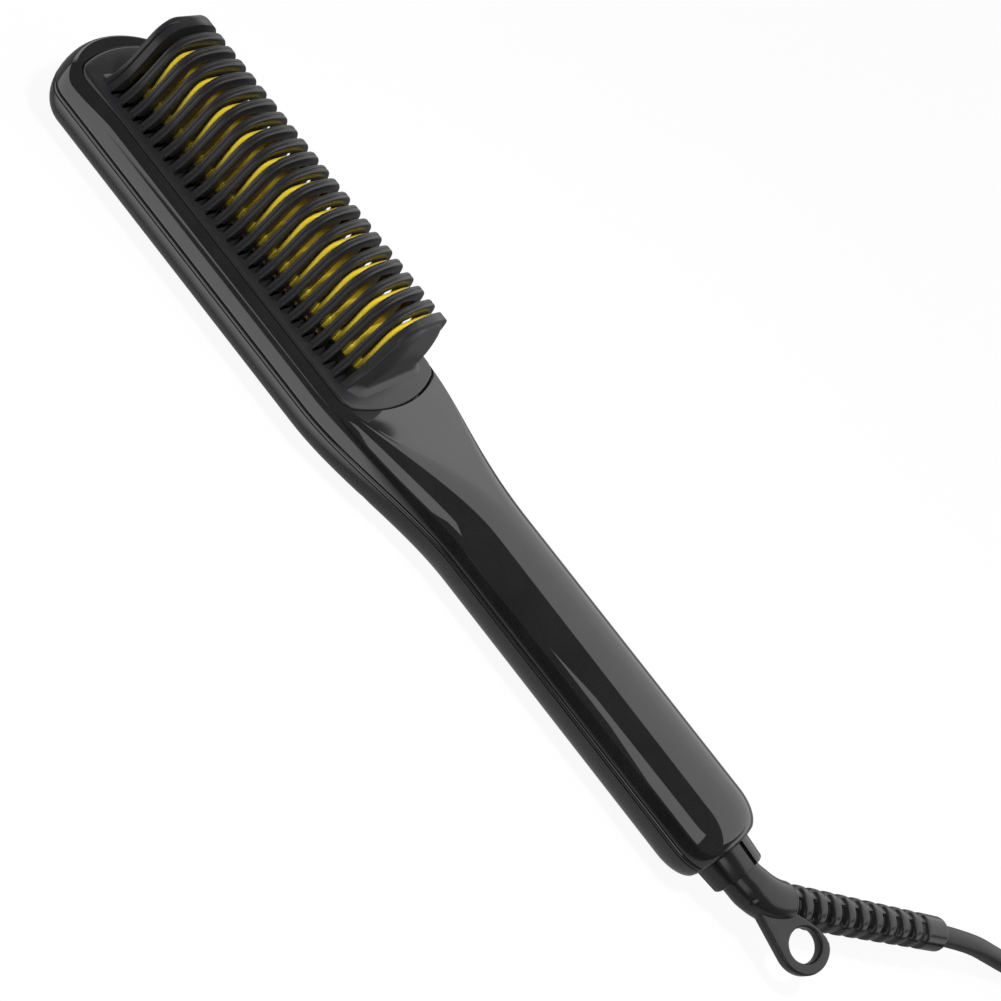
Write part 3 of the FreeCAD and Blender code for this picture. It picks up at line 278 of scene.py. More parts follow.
def placed(name, data):
    """New object of the scene for a mesh, curve, camera or lamp."""
    obj = bpy.data.objects.new(name, data)
    bpy.context.scene.collection.objects.link(obj)
    return obj


def solid(name, points, faces, finish, angle=CRISP):
    """Closed mesh from points in millimetres, doubles merged and faces turned outwards."""
    mesh = bpy.data.meshes.new(name)
    mesh.from_pydata([[c * MM for c in p] for p in points], [], faces)
    form = bmesh.new()
    form.from_mesh(mesh)
    bmesh.ops.remove_doubles(form, verts=form.verts, dist=3.0e-6)
    bmesh.ops.dissolve_degenerate(form, dist=1.0e-6, edges=form.edges)
    bmesh.ops.recalc_face_normals(form, faces=form.faces)
    form.to_mesh(mesh)
    form.free()
    mesh.materials.append(finishes[finish])
    smooth(mesh, angle)
    return placed(name, mesh)


def skin(name, rings, finish, angle=CRISP, looped=False):
    """Closed piece with a skin over rings of equal length, capped unless the rings go round."""
    count = len(rings[0])
    total = len(rings) * count
    faces = []
    for here in range(0, total if looped else total - count, count):
        there = (here + count) % total
        for j in range(count):
            k = (j + 1) % count
            faces.append((here + j, here + k, there + k, there + j))
    if not looped:
        faces += [tuple(range(count)), tuple(range(total - count, total))]
    return solid(name, [p for ring in rings for p in ring], faces, finish, angle)


def settle(obj, angle=CRISP):
    """Turns what the modifiers give into the object's own mesh."""
    graph = bpy.context.evaluated_depsgraph_get()
    mesh = bpy.data.meshes.new_from_object(obj.evaluated_get(graph))
    obj.modifiers.clear()
    obj.data = mesh
    smooth(mesh, angle)
    return obj


def carve(obj, tools, angle=CRISP):
    """Cuts solids out of a piece and removes them."""
    for tool in tools:
        cut = obj.modifiers.new("cut", "BOOLEAN")
        cut.operation = "DIFFERENCE"
        cut.solver = "EXACT"
        cut.object = tool
    settle(obj, angle)
    for tool in tools:
        bpy.data.objects.remove(tool)
    return obj


def gather(name, parts, angle=CRISP):
    """One object from several of the same finish."""
    form = bmesh.new()
    for part in parts:
        form.from_mesh(part.data)
    mesh = bpy.data.meshes.new(name)
    form.to_mesh(mesh)
    form.free()
    mesh.materials.append(parts[0].data.materials[0])
    for polygon in mesh.polygons:
        polygon.material_index = 0
    smooth(mesh, angle)
    for part in parts:
        bpy.data.objects.remove(part)
    return placed(name, mesh)


def fit(obj, body, slot, *nodes):
    """Sets a piece on its body in place of its solids; its slot argument is not used."""
    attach(obj, body)
    if nodes:
        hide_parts(*nodes)
    return obj


def row_tree():
    """Tree that repeats a piece in a straight row and paints it."""
    tree = bpy.data.node_groups.new("row_of_pieces", "GeometryNodeTree")
    kinds = {"Piece": "Geometry", "Count": "Int", "Step": "Vector", "Finish": "Material"}
    for name, kind in kinds.items():
        tree.interface.new_socket(name, in_out="INPUT", socket_type="NodeSocket" + kind)
    tree.interface.new_socket("Row", in_out="OUTPUT", socket_type="NodeSocketGeometry")
    given = add(tree, "NodeGroupInput").outputs
    places = add(tree, "GeometryNodeMeshLine", {
        "Count": given["Count"], "Offset": given["Step"]}, mode="OFFSET")
    row = add(tree, "GeometryNodeInstanceOnPoints", {
        "Points": places.outputs["Mesh"], "Instance": given["Piece"]})
    real = add(tree, "GeometryNodeRealizeInstances", {"Geometry": row.outputs["Instances"]})
    paint = add(tree, "GeometryNodeSetMaterial", {
        "Geometry": real.outputs["Geometry"], "Material": given["Finish"]})
    add(tree, "NodeGroupOutput", {"Row": paint.outputs["Geometry"]})
    return tree


def repeat(obj, count, step, angle=CRISP):
    """Repeats a piece along X by the row tree and keeps the result as its mesh."""
    tree = bpy.data.node_groups.get("row_of_pieces") or row_tree()
    row = obj.modifiers.new("row", "NODES")
    row.node_group = tree
    values = {"Count": count, "Step": (step * MM, 0.0, 0.0), "Finish": obj.data.materials[0]}
    for item in tree.interface.items_tree:
        if item.name in values and item.in_out == "INPUT":
            row[item.identifier] = values[item.name]
    return settle(obj, angle)


def ease(u):
    """Smooth step from 0 to 1."""
    u = min(max(u, 0.0), 1.0)
    return u * u * (3.0 - 2.0 * u)


def frange(low, high, count):
    """Evenly spaced values with both ends."""
    return [low + (high - low) * i / (count - 1) for i in range(count)]


def round_turns(count, shift=0.0):
    """Angles of evenly spaced points round a circle."""
    return [2 * pi * (i + shift) / count for i in range(count)]


def polar(radius, angle, x=0.0, y=0.0):
    """Point at an angle on a circle about a place."""
    return x + radius * cos(angle), y + radius * sin(angle)


def outward(path, closed=False):
    """Outward normal at each point of a flat path."""
    ways = []
    for i in range(len(path)):
        a = path[i - 1 if closed else max(i - 1, 0)]
        b = path[(i + 1) % len(path) if closed else min(i + 1, len(path) - 1)]
        length = hypot(b[0] - a[0], b[1] - a[1])
        ways.append(((b[1] - a[1]) / length, (a[0] - b[0]) / length))
    return ways


def housing_section(sizes, x, up, inset):
    """Half width, flat half width and height of the outside at one place along the body."""
    neck = ease((x - NECK_X) / NECK_LENGTH)
    past = min(max(0.0, (x - END_X + END_ROUND) / END_ROUND), 1.0)
    end = END_LEFT + (1.0 - END_LEFT) * sqrt(1.0 - past * past)
    full = (sizes.head_half - sizes.neck_taper * neck) / MM
    ridge, keel, belly = 0.3, 9.5, 12.0
    if up:
        rise = ((sizes.rim_height + sizes.handle_rise * neck) / MM - SEAM) * end
        rim = 2.5 + 1.7 * (1.0 - ease((x - TIP_X) / 16.0))
        sharp = neck ** 1.6
        flat = ((full - rim) * (1.0 - sharp) + ridge * sharp) * end
    else:
        rise = belly * end
        flat = (keel + (ridge - keel) * neck) * end
    return full * end - inset, max(flat - inset, 0.2), rise - inset


def housing_points(sizes, up, inset, end, lipped):
    """Rows of points on the near side, from the seam to the ridge, for stations from tip to end."""
    stations = [(TIP_X, radians(90.0 - 4.5 * i)) for i in range(20)]
    xs = frange(TIP_X, -96.5, 9) + [-80.0, -55.0, -30.0] + frange(-22.0, 38.0, 31)
    xs += [55.0, 75.0, 95.0, 108.0]
    xs += [x for x in frange(114.0, END_X, 23) if x < end - 0.05] + [end]
    stations += [(x, 0.0) for x in xs]
    way = 1.0 if up else -1.0
    gap = sizes.seam_gap / MM
    if not lipped:
        lip, low = [(0.0, -1.0)], 0.0
    elif up:
        lip, low = [(gap, 0.16), (0.3, 0.16), (0.1, 0.26), (0.02, 0.48)], 0.7
    else:
        lip, low = [(gap, 0.04), (0.5, 0.04), (0.22, 0.12), (0.06, 0.32),
                    (0.0, 0.6), (0.0, 1.0), (0.3, 1.06), (0.3, 1.36)], 1.42
    rows = []
    for x, turn in stations:
        width, flat, rise = housing_section(sizes, x, up, inset)
        profile = [(width - draw, height) for draw, height in lip]
        for a in frange(asin(low / rise), pi / 2, 25):
            profile.append((flat + (width - flat) * cos(a), rise * sin(a)))
        profile += [(flat * 0.5, rise), (0.0, rise)]
        row = []
        for reach, height in profile:
            length = (TIP_REACH - inset) * reach / width
            row.append((x - length * sin(turn), -reach * cos(turn), max(SEAM + way * height, inset)))
        rows.append(row)
    return rows


def housing_half(name, sizes, up, inset, end, lipped):
    """Closed half of the housing, or of its hollow."""
    near = housing_points(sizes, up, inset, end, lipped)
    count = len(near[0])
    half = len(near) * count
    last = half - count
    points = [p for row in near for p in row]
    points += [(x, -y, z) for x, y, z in points]
    faces = []
    for start in range(0, last, count):
        for a in range(start, start + count - 1):
            b = half + a
            faces.append((a, a + count, a + count + 1, a + 1))
            faces.append((b, b + 1, b + count + 1, b + count))
        faces.append((start, half + start, half + start + count, start + count))
    faces.append(tuple(range(last, half)) + tuple(range(half + half - 2, half + last - 1, -1)))
    return solid(name, points, faces, "gloss", 32.0)


def recess_outline(inset):
    """Outline of the comb's recess: straight sides, bulging ends, rounded corners."""
    end, middle, half = -5.3 - inset, -62.3, 19.6 - inset
    corner = max(5.0 - inset, 0.5)
    bulge = 5.0
    radius = (half * half + bulge * bulge) / (2 * bulge)
    reach = sqrt((radius - corner) ** 2 - (half - corner) ** 2)
    turn = atan2(half - corner, reach)
    side = [polar(corner, a, end - radius + reach, corner - half) for a in frange(-pi / 2, -turn, 9)]
    side += [polar(radius, a, end - radius) for a in frange(-turn, turn, 17)[1:-1]]
    side += [(x, -y) for x, y in side[8::-1]]
    return side + [(2 * middle - x, y) for x, y in side[::-1]]


def prism(name, outline, levels, finish, angle=CRISP):
    """Upright piece whose outline is drawn in or out at each height."""
    rings = [[(x, y, z) for x, y in outline(inset)] for z, inset in levels]
    return skin(name, rings, finish, angle)


def straight(name, outline, low, high, finish):
    """Upright piece of one outline."""
    return prism(name, outline, [(low, 0.0), (high, 0.0)], finish)


def disc_outline(x, y, radius, count=40):
    """Round outline about a place."""
    return lambda inset: [polar(radius - inset, a, x, y) for a in round_turns(count)]


def long_outline(x0, x1, half, corner, steps=8):
    """Straight-sided outline with rounded corners."""
    near, far, side = x0 + corner, x1 - corner, half - corner
    centres = [(far, side), (near, side), (near, -side), (far, -side)]
    return lambda inset: [
        polar(corner - inset, pi / 2 * (quarter + i / steps), x, y)
        for quarter, (x, y) in enumerate(centres) for i in range(steps + 1)]


def cut_corners(wide, tall, cut_wide, cut_tall):
    """Eight points of a rectangle with cut corners, from its half sizes."""
    side, top = tall - cut_tall, wide - cut_wide
    return [(wide, side), (top, tall), (-top, tall), (-wide, side),
            (-wide, -side), (-top, -tall), (top, -tall), (wide, -side)]


def mirrored(half):
    """A half outline joined at its last point to its mirror image."""
    return half + [(-a, b) for a, b in half[-2::-1]]


def end_bore():
    """Tool for the round opening at the handle's end."""
    ring = disc_outline(0.0, SEAM, BORE_RADIUS, 64)(0.0)
    return skin("bore", [[(x, y, z) for y, z in ring] for x in (END_X - 5.0, END_X + 2.0)], "gloss")


def rounded_curve(start, corner, end, steps, weight=1.0):
    """Points of one rational quadratic bend, without its first."""
    points = []
    for i in range(1, steps + 1):
        t = i / steps
        shares = ((1 - t) ** 2, 2 * t * (1 - t) * weight, t * t)
        points.append(tuple(
            sum(share * value for share, value in zip(shares, values)) / sum(shares)
            for values in zip(start, corner, end)))
    return points


def last_rib(sizes):
    """Place of the last rib along the body."""
    return FIRST_RIB + (RIB_COUNT - 1) * sizes.pitch / MM


def hood_side():
    """Near half of the guard's arch, from its foot to the crest, as y and z."""
    foot, hip, shoulder, brow = (-FOOT, BASE_TOP), (-12.0, 27.0), (-10.4, 34.0), (-4.0, 40.4)
    path = [(-FOOT, 18.4), foot] + rounded_curve(foot, (-13.0, 23.0), hip, 9)
    path += [(-11.2, 30.5), shoulder] + rounded_curve(shoulder, (-9.2, 40.0), brow, 10)
    return path + rounded_curve(brow, (-2.0, CREST), (0.0, CREST), 5)


def guard_rib(sizes):
    """One rib: a bar with rounded edges and a fine groove, bent over the arch."""
    pitch = sizes.pitch / MM
    half = sizes.rib / MM / 2
    groove = sizes.groove / MM
    outer = [(-half, 0.62), (-half * 0.97, 0.34), (-half * 0.86, 0.13), (-half * 0.66, 0.02),
             (-0.3, 0.0), (-0.2, groove * 0.25), (-0.1, groove)]
    outer += [(-u, d) for u, d in outer[::-1]]
    path = mirrored(hood_side())
    rings = []
    for (y, z), (ny, nz) in zip(path, outward(path)):
        deep = sizes.depth / MM - 0.8 * ease((z - 32.0) / 8.0)
        shape = outer + [(half, deep - 0.3), (half * 0.8, deep), (-half * 0.8, deep), (-half, deep - 0.3)]
        rings.append([(FIRST_RIB + pitch + u, y + ny * d, z + nz * d) for u, d in shape])
    rib = skin("comb_rib", rings, "guard", 50.0)
    return repeat(rib, RIB_COUNT - 2, pitch, 50.0)


def guard_end(rib_x, way, draft, fillet, groove, edge, dome):
    """Closed end of the comb: leans in, rounds over at its edges and flows out onto the base."""
    path = hood_side()[1:]
    fine = [(-FOOT, 18.6), path[0]]
    for a, b in zip(path, path[1:]):
        steps = 3 if b[1] > 38 or b[1] < 24 else 2
        fine += [tuple(p + (q - p) * i / steps for p, q in zip(a, b)) for i in range(1, steps + 1)]
    rise = CREST - BASE_TOP
    wall, least = 2.7, 1.25
    rows = []
    for y, z in fine:
        lift = max(z - BASE_TOP, 0.0)
        face = wall - draft * lift / rise
        if lift < fillet:
            face += fillet * (1.0 - sqrt(1.0 - ((fillet - lift) / fillet) ** 2))
        drop = CREST - z
        if drop < edge:
            face -= edge - sqrt(max(edge ** 2 - (edge - drop) ** 2, 0.0))
        face = max(face, least) + dome * sin(pi * min(lift / rise, 1.0))
        corner = min(edge + 2.0 * dome, -y)
        row = [(y, -RIB_SIDE), (y, -0.6), (y, 0.7), (y + groove, 0.95), (y, 1.2)]
        for a in frange(0.0, pi / 2, 9):
            row.append((y + corner - corner * cos(a), max(face - corner + corner * sin(a), 1.2)))
        row += [((y + corner) * 0.5, face), (0.0, face)]
        rows.append([(rib_x + way * u, v, z) for v, u in mirrored(row)])
    count = len(rows[0])
    starts = range(0, len(rows) * count, count)
    faces = [(a, a + 1, a + count + 1, a + count)
             for start in starts[:-1] for a in range(start, start + count - 1)]
    faces.append(tuple(range(count)))
    faces.append(tuple(starts) + tuple(a + count - 1 for a in starts[-2::-1]))
    return solid("comb_end", [p for row in rows for p in row], faces, "guard", 50.0)


def guard_base(sizes):
    """Base plate with rounded rim, slots between the ribs and the opening for the heater."""
    levels = [(16.5, 0.2), (19.3, 0.2), (19.65, 0.3), (19.9, 0.55), (BASE_TOP, 0.95)]
    base = prism("comb_base", recess_outline, levels, "guard", 50.0)
    pitch = sizes.pitch / MM
    first = FIRST_RIB + pitch / 2
    half = (sizes.pitch - sizes.rib) / MM / 2
    slot = prism("slot", long_outline(first - half, first + half, 16.6, 0.7, 4),
                 [(18.4, 0.0), (19.7, 0.0), (BASE_TOP, -0.2), (20.6, -0.2)], "guard")
    repeat(slot, RIB_COUNT - 1, pitch)
    mouth = long_outline(FIRST_RIB + RIB_SIDE, last_rib(sizes) - RIB_SIDE, 9.8, 0.6)
    return carve(base, [slot, straight("opening", mouth, 15.0, 22.0, "guard")], 50.0)


def heated_fins(sizes):
    """Gold plate with arched fins, one in every second gap."""
    pitch = sizes.pitch / MM
    thick = sizes.fin / MM / 2
    inset, half, foot, knee, crest = 1.45, 9.6, 22.0, 31.0, 37.8
    plate = prism("heater_bed", long_outline(FIRST_RIB + inset, last_rib(sizes) - inset, 9.4, 0.8),
                  [(21.2, 0.25), (21.45, 0.0), (24.1, 0.0), (24.4, 0.12), (24.5, 0.4)], "gold")
    side = [(-half, foot), (-half, knee)]
    side += rounded_curve(side[-1], (-half, crest), (0.0, crest), 18, 2.0)
    x = FIRST_RIB + 1.5 * pitch
    rings = []
    for u, inset in ((-1.0, 0.42), (-0.82, 0.16), (-0.5, 0.0), (0.5, 0.0), (0.82, 0.16), (1.0, 0.42)):
        share = (half - inset) / half
        rings.append([(x + u * thick, y * share, z - inset * min(max((z - foot) / 8.0, 0.0), 1.0))
                      for y, z in mirrored(side)])
    fins = skin("heater_fin", rings, "gold", 40.0)
    repeat(fins, (RIB_COUNT - 1) // 2, 2 * pitch, 40.0)
    return gather("heater_fins", [plate, fins], 40.0)


def collar_mesh():
    """Fixed collar at the handle's end, with open slots round its rim."""
    rim, first, slots, slot_width = 7.45, 12.0, 6, 1.3
    profile = [
        (119.1, 9.0), (119.3, 9.2), (121.3, 9.2), (121.45, rim), (125.02, rim), (125.04, rim),
        (131.0, 7.0), (131.4, 6.88), (131.6, 6.6), (131.6, 6.0), (130.2, 6.0), (130.2, 4.7), (119.1, 4.7),
    ]
    step = 360.0 / slots
    half = degrees(slot_width / 2 / rim)
    turns = []
    for slot in range(slots):
        middle = first + slot * step
        turns += [(middle - half, False), (middle - half + 0.2, True), (middle, True),
                  (middle + half - 0.2, True), (middle + half, False)]
        turns += [(middle + half + (step - 2 * half) * i / 12, False) for i in range(1, 12)]
    rings = []
    for x, radius in profile:
        bed = 6.25 if x < 130.9 else 6.12
        ring = []
        for angle, in_slot in turns:
            a = radians(angle)
            r = min(radius, bed) if in_slot and x > 125.03 else radius
            ring.append((x, -r * sin(a), SEAM + r * cos(a)))
        rings.append(ring)
    return skin("collar", rings, "satin", 32.0, looped=True)


def elbow_tube():
    """Bent barrel of the boot with a rolled front edge."""
    lead = ((130.5, 0.7), (130.62, 0.4), (130.95, 0.25))
    path = [(Vector((x, 0.0, SEAM)), 0.0, inset) for x, inset in lead]
    for i in range(25):
        turn = BEND_TURN * i / 24
        x, y = BEND_START + BEND_RADIUS * sin(turn), BEND_RADIUS * (1 - cos(turn))
        path.append((Vector((x, y, SEAM)), turn, 0.25 * (1.0 - ease((i - 2.0) / 6.0))))
    for along, inset in ((-0.8, 0.0), (-0.2, 0.12), (0.1, 0.45)):
        path.append((SLEEVE_START + SLEEVE_WAY * along, BEND_TURN, inset))
    rings = []
    for spot, turn, inset in path:
        side = Vector((-sin(turn), cos(turn), 0.0))
        rings.append([tuple(spot + (side * cos(a) + UP * sin(a)) * (BOOT_RADIUS - inset))
                      for a in round_turns(48)])
    return skin("boot_elbow", rings, "rubber", 40.0)


def relief_sleeve():
    """Tapered bend protector: proud rings with deep slots between them, staggered on its two sides."""
    side = Vector((-SLEEVE_WAY.y, SLEEVE_WAY.x, 0.0))
    roll = radians(-60.0)
    root, taper, core, lip = 5.2, 0.7, 3.5, 0.8
    slot_half, slot_step, last_slot, slot_reach = 1.05, 5.3, 9, 2.9
    rings = []
    for x in [-0.4] + frange(0.0, SLEEVE_LENGTH, 299):
        outer = root - taper * max(x, 0.0) / SLEEVE_LENGTH
        past = x - SLEEVE_LENGTH + lip
        if past > 0.0:
            outer -= 0.5 * (past / lip) ** 2
        ring = []
        for a in round_turns(80):
            face = cos(a) - 0.5
            beyond = x - slot_half - (1.0 if face < 0.0 else 3.65)
            index = min(max(round(beyond / slot_step), 0), last_slot)
            inside = slot_half - abs(beyond - slot_step * index)
            open_here = ease((slot_reach - outer * abs(sin(a))) / 0.35)
            groove = 0.75 * ease((inside + 0.9) / 1.5)
            slot = (outer - core) * open_here * ease(inside / 0.3 + 0.5)
            radius = outer - max(groove, slot) * ease(abs(face) / 0.15)
            y, z = polar(radius, a + roll)
            ring.append(tuple(SLEEVE_START + SLEEVE_WAY * x + side * y + UP * z))
        rings.append(ring)
    return skin("boot_sleeve", rings, "rubber", 50.0)


def loop_plate():
    """Flat hanging loop that fills the elbow's outer corner, with a round hole."""
    corner = BEND_CORNER
    centre = Vector((corner.x + LOOP_PLACE.x, LOOP_PLACE.y, 0.0))
    outline = [(corner.x - 1.5, 0.5), (corner.x - 1.5, -2.5)]
    for angle in frange(*LOOP_ARC, 26):
        outline.append(polar(LOOP_RADIUS, radians(angle), centre.x, centre.y))
    tail = corner + SLEEVE_WAY * (BEND_REACH + 1.2)
    bend = (centre.x + 2.2, centre.y + 7.7)
    outline += rounded_curve(outline[-1], bend, (tail.x + 2.0, tail.y - 1.6), 6) + [(tail.x, tail.y)]
    low, high = SEAM - LOOP_HALF, SEAM + LOOP_HALF
    loop = straight("boot_loop", lambda inset: outline, low, high, "rubber")
    hole = disc_outline(centre.x, centre.y, LOOP_HOLE, 48)
    carve(loop, [straight("hole", hole, low - 1.0, high + 1.0, "rubber")])
    roll = loop.modifiers.new("roll", "BEVEL")
    roll.width = LOOP_EDGE * MM
    roll.segments = 3
    roll.limit_method = "ANGLE"
    roll.angle_limit = radians(50.0)
    settle(loop, 40.0)
    spot = Matrix.Translation(corner * MM)
    tilt = Matrix.Rotation(LOOP_TILT, 4, LOOP_PLACE.normalized())
    loop.data.transform(spot @ tilt @ spot.inverted())
    return loop


def cord_route(sizes):
    """The cord's route points: the lead off the sleeve, then the stored coil and its tail."""
    start = SLEEVE_START + SLEEVE_WAY * SLEEVE_LENGTH
    right = Vector((SLEEVE_WAY.y, -SLEEVE_WAY.x, 0.0))
    route = []
    for along, aside, height in LEAD_ROUTE:
        spot = start + SLEEVE_WAY * along + right * aside
        route.append(Vector((spot.x, spot.y, height)))
    heading = (route[-1] - route[-2]).to_2d().to_3d().normalized()
    turns = sizes.turns
    tight = sizes.coil / MM
    spacing = sizes.spacing / MM
    radius0 = tight + spacing * turns / 2
    right = Vector((heading.y, -heading.x, 0.0))
    centre = route[-1] + heading * STRAIGHT_END + right * radius0
    angle0 = atan2(-right.y, -right.x)
    steps = int(round(turns * COIL_STEPS))
    for i in range(steps + 1):
        turn = i * turns / steps
        radius = tight + spacing * abs(turn - turns / 2)
        height = COIL_LOW + COIL_CLIMB * ease((turn - turns / 2) * 2 + 0.5)
        spot = polar(radius, angle0 - 2 * pi * turn, centre.x, centre.y)
        route.append(Vector((*spot, height)))
    last = angle0 - 2 * pi * turns
    tail = Vector((sin(last), -cos(last), 0.0)) * radius0
    tail += Vector((cos(last), sin(last), 0.0)) * spacing / (2 * pi)
    tail.normalize()
    route.append(route[-1] + tail * STRAIGHT_END)
    return route, centre, angle0, tail


class STRAIGHTENER_OT_camera(bpy.types.Operator):
    """Sets the camera where the photograph was taken from"""
    bl_idname = "straightener.camera"
    bl_label = "Camera"

    def execute(self, context):
        # Sensor width in millimetres, then focal length and picture width in pixels
        sensor, focal, picture = 36.0, 1644.7, 1001.0
        place = (0.06271, -0.32107, 0.24514)
        right = (0.61523, 0.49137, 0.61649)
        up = (-0.78322, 0.29188, 0.54898)
        back = (0.08981, -0.82059, 0.56442)
        data = bpy.data.cameras.new("photo_camera")
        data.sensor_width = sensor
        data.sensor_fit = "HORIZONTAL"
        data.lens = sensor * focal / picture
        camera = placed("photo_camera", data)
        camera.matrix_world = Matrix.Translation(place) @ Matrix((right, up, back)).transposed().to_4x4()
        context.scene.camera = camera
        return {"FINISHED"}


def tie_strap(sizes, centre, angle0):
    """Flat strap wound once round all the turns."""
    half, gap, low, high = 4.5, 0.3, 0.8, 13.1
    radius = sizes.radius / MM
    inner = sizes.coil / MM - radius - gap
    outer = sizes.coil / MM + sizes.spacing / MM * sizes.turns / 2 + radius + gap
    inner -= half * half / (2 * inner)
    turn = Matrix.Rotation(radians(-120.0) + angle0, 3, "Z")
    loop = long_outline(inner - 0.4, outer + 0.4, (high - low) / 2 + 0.4, 2.2)(0.0)
    rings = []
    for (r, h), (nr, nh) in zip(loop, outward(loop, closed=True)):
        ring = []
        for across, out in cut_corners(half, 0.38, 0.3, 0.18)[::-1]:
            spot = turn @ Vector((r + nr * out, across, 0.0)) + Vector((centre.x, centre.y, 0.0))
            ring.append((spot.x, spot.y, h + nh * out + (low + high) / 2))
        rings.append(ring)
    tie = skin("cord_tie_strap", rings, "jacket", 45.0, looped=True)
    return fit(tie, "cord_swivel", "cord_black", "cord_tie")


def on_plug(end, tail, along, across, height):
    """Point on the plug from its place along, across and above the plug's axis."""
    side = Vector((-tail.y, tail.x, 0.0))
    spot = Vector((end.x, end.y, 0.0)) + tail * along + side * across
    return (spot.x, spot.y, PLUG_HEIGHT + height)


def squared(value):
    """Cosine or sine pushed outwards, which turns a circle into a rounded block."""
    return copysign(abs(value) ** 0.42, value)


def plug_body(end, tail):
    """Moulded plug: ringed relief, rounded grip with finger ridges, flat face."""
    wide, tall, relief = 13.0, 10.0, 24.0
    cone = [(0.0, 0.3), (0.3, 0.0)]
    for i in range(4):
        x = 4.0 + i * 4.6
        cone += [(x, 0.0), (x + 0.25, 0.7), (x + 1.6, 0.7), (x + 1.85, 0.0)]
    cone.append((23.2, 0.0))
    block = [(24.0, 3.4, 3.4), (24.35, 1.6, 1.6), (25.2, 0.5, 0.5), (26.4, 0.0, 0.0)]
    for i in range(5):
        x = 31.0 + i * 3.2
        block += [(x, 0.0, 0.0), (x + 0.5, 0.7, 0.0), (x + 1.4, 0.7, 0.0), (x + 1.9, 0.0, 0.0)]
    block += [(52.8, 0.0, 0.0), (53.6, 0.3, 0.3), (54.0, 0.9, 0.9)]
    turns = round_turns(48, 0.5)
    rings = []
    for x, inset in cone:
        radius = 3.4 + 0.8 * x / relief - inset
        rings.append([on_plug(end, tail, x, *polar(radius, a)) for a in turns])
    for x, side, top in block:
        rings.append([on_plug(end, tail, x, (wide - side) * squared(cos(a)), (tall - top) * squared(sin(a)))
                      for a in turns])
    plug = skin("moulded_plug", rings, "rubber", 40.0)
    return fit(plug, "cord_swivel", "soft_black", "plug_body")


def plug_pins(end, tail):
    """Two flat blades with chamfered tips."""
    blades = []
    for side in (-6.35, 6.35):
        rings = []
        for x, inset in ((52.0, 0.0), (69.6, 0.0), (70.6, 0.45), (71.0, 0.75)):
            ring = cut_corners(0.75 - inset * 0.6, 3.175 - inset * 1.4, 0.2, 0.3)
            rings.append([on_plug(end, tail, x, side + y, z) for y, z in ring])
        blades.append(skin("blade", rings, "nickel", 25.0))
    return fit(gather("plug_pins", blades, 25.0), "cord_swivel", "nickel", "plug_blades")


class STRAIGHTENER_OT_cord(bpy.types.Operator):
    """Lays the supply cord with its coil, tie and plug"""
    bl_idname = "straightener.cord"
    bl_label = "Cord, tie and plug"

    def execute(self, context):
        sizes = context.scene.straightener_cord
        route, centre, angle0, tail = cord_route(sizes)
        curve = bpy.data.curves.new("supply_cord", "CURVE")
        curve.dimensions = "3D"
        spline = curve.splines.new("NURBS")
        spline.points.add(len(route) - 1)
        for point, spot in zip(spline.points, route):
            point.co = (spot.x * MM, spot.y * MM, spot.z * MM, 1.0)
        spline.order_u = 3
        spline.use_endpoint_u = True
        spline.resolution_u = 6
        curve.bevel_depth = sizes.radius
        curve.bevel_resolution = 5
        curve.use_fill_caps = True
        curve.materials.append(finishes["jacket"])
        cord = placed("supply_cord", curve)
        fit(cord, "cord_swivel", "cord_black", "cord_lead", "cord_coil")
        tie = tie_strap(sizes, centre, angle0)
        plug = plug_body(route[-1], tail)
        pins = plug_pins(route[-1], tail)
        exit_spot = [c * MM for c in route[0]]
        return {"FINISHED"}


class STRAIGHTENER_OT_shells(bpy.types.Operator):
    """Builds the two glossy housing halves"""
    bl_idname = "straightener.shells"
    bl_label = "Housing halves"

    def execute(self, context):
        sizes = context.scene.straightener_shell
        wall = sizes.wall / MM
        hollow_end = END_X - 3.5
        front = housing_half("housing_front", sizes, True, 0.0, END_X, True)
        hollow = housing_half("hollow_front", sizes, True, wall, hollow_end, False)
        carve(hollow, [straight("ledge", long_outline(-130.0, -3.3, 30.0, 1.0), 14.5, 40.0, "gloss")])
        levels = [(16.5, 0.0), (18.98, 0.0), (19.14, -0.06), (19.3, -0.24), (30.0, -0.24)]
        pocket = prism("pocket", recess_outline, levels, "gloss")
        window = straight("window", lambda inset: recess_outline(2.5), 5.0, 17.0, "gloss")
        carve(front, [hollow, pocket, window, end_bore()], 32.0)
        fit(front, "housing", "gloss_black", "front_shell")
        back = housing_half("housing_back", sizes, False, 0.0, END_X, True)
        tools = [
            housing_half("hollow_back", sizes, False, wall + 0.2, hollow_end, False), end_bore(),
            prism("dish", long_outline(11.8, 72.2, 8.2, 8.2, 14),
                  [(-2.0, -0.4), (0.0, -0.4), (0.35, 0.0), (0.9, 0.0)], "gloss"),
            straight("panel_hole", long_outline(13.8, 70.2, 6.2, 6.2, 14), -2.0, 6.0, "gloss"),
        ]
        for x, y in ((6.0, -11.5), (6.0, 11.5), (92.0, 0.0)):
            tools.append(prism("screw_bore", disc_outline(x, y, 2.55),
                               [(-2.0, -0.3), (0.0, -0.3), (0.6, 0.0), (5.0, 0.0)], "gloss"))
        carve(back, tools, 32.0)
        fit(back, "housing", "gloss_black", "back_shell")
        return {"FINISHED"}


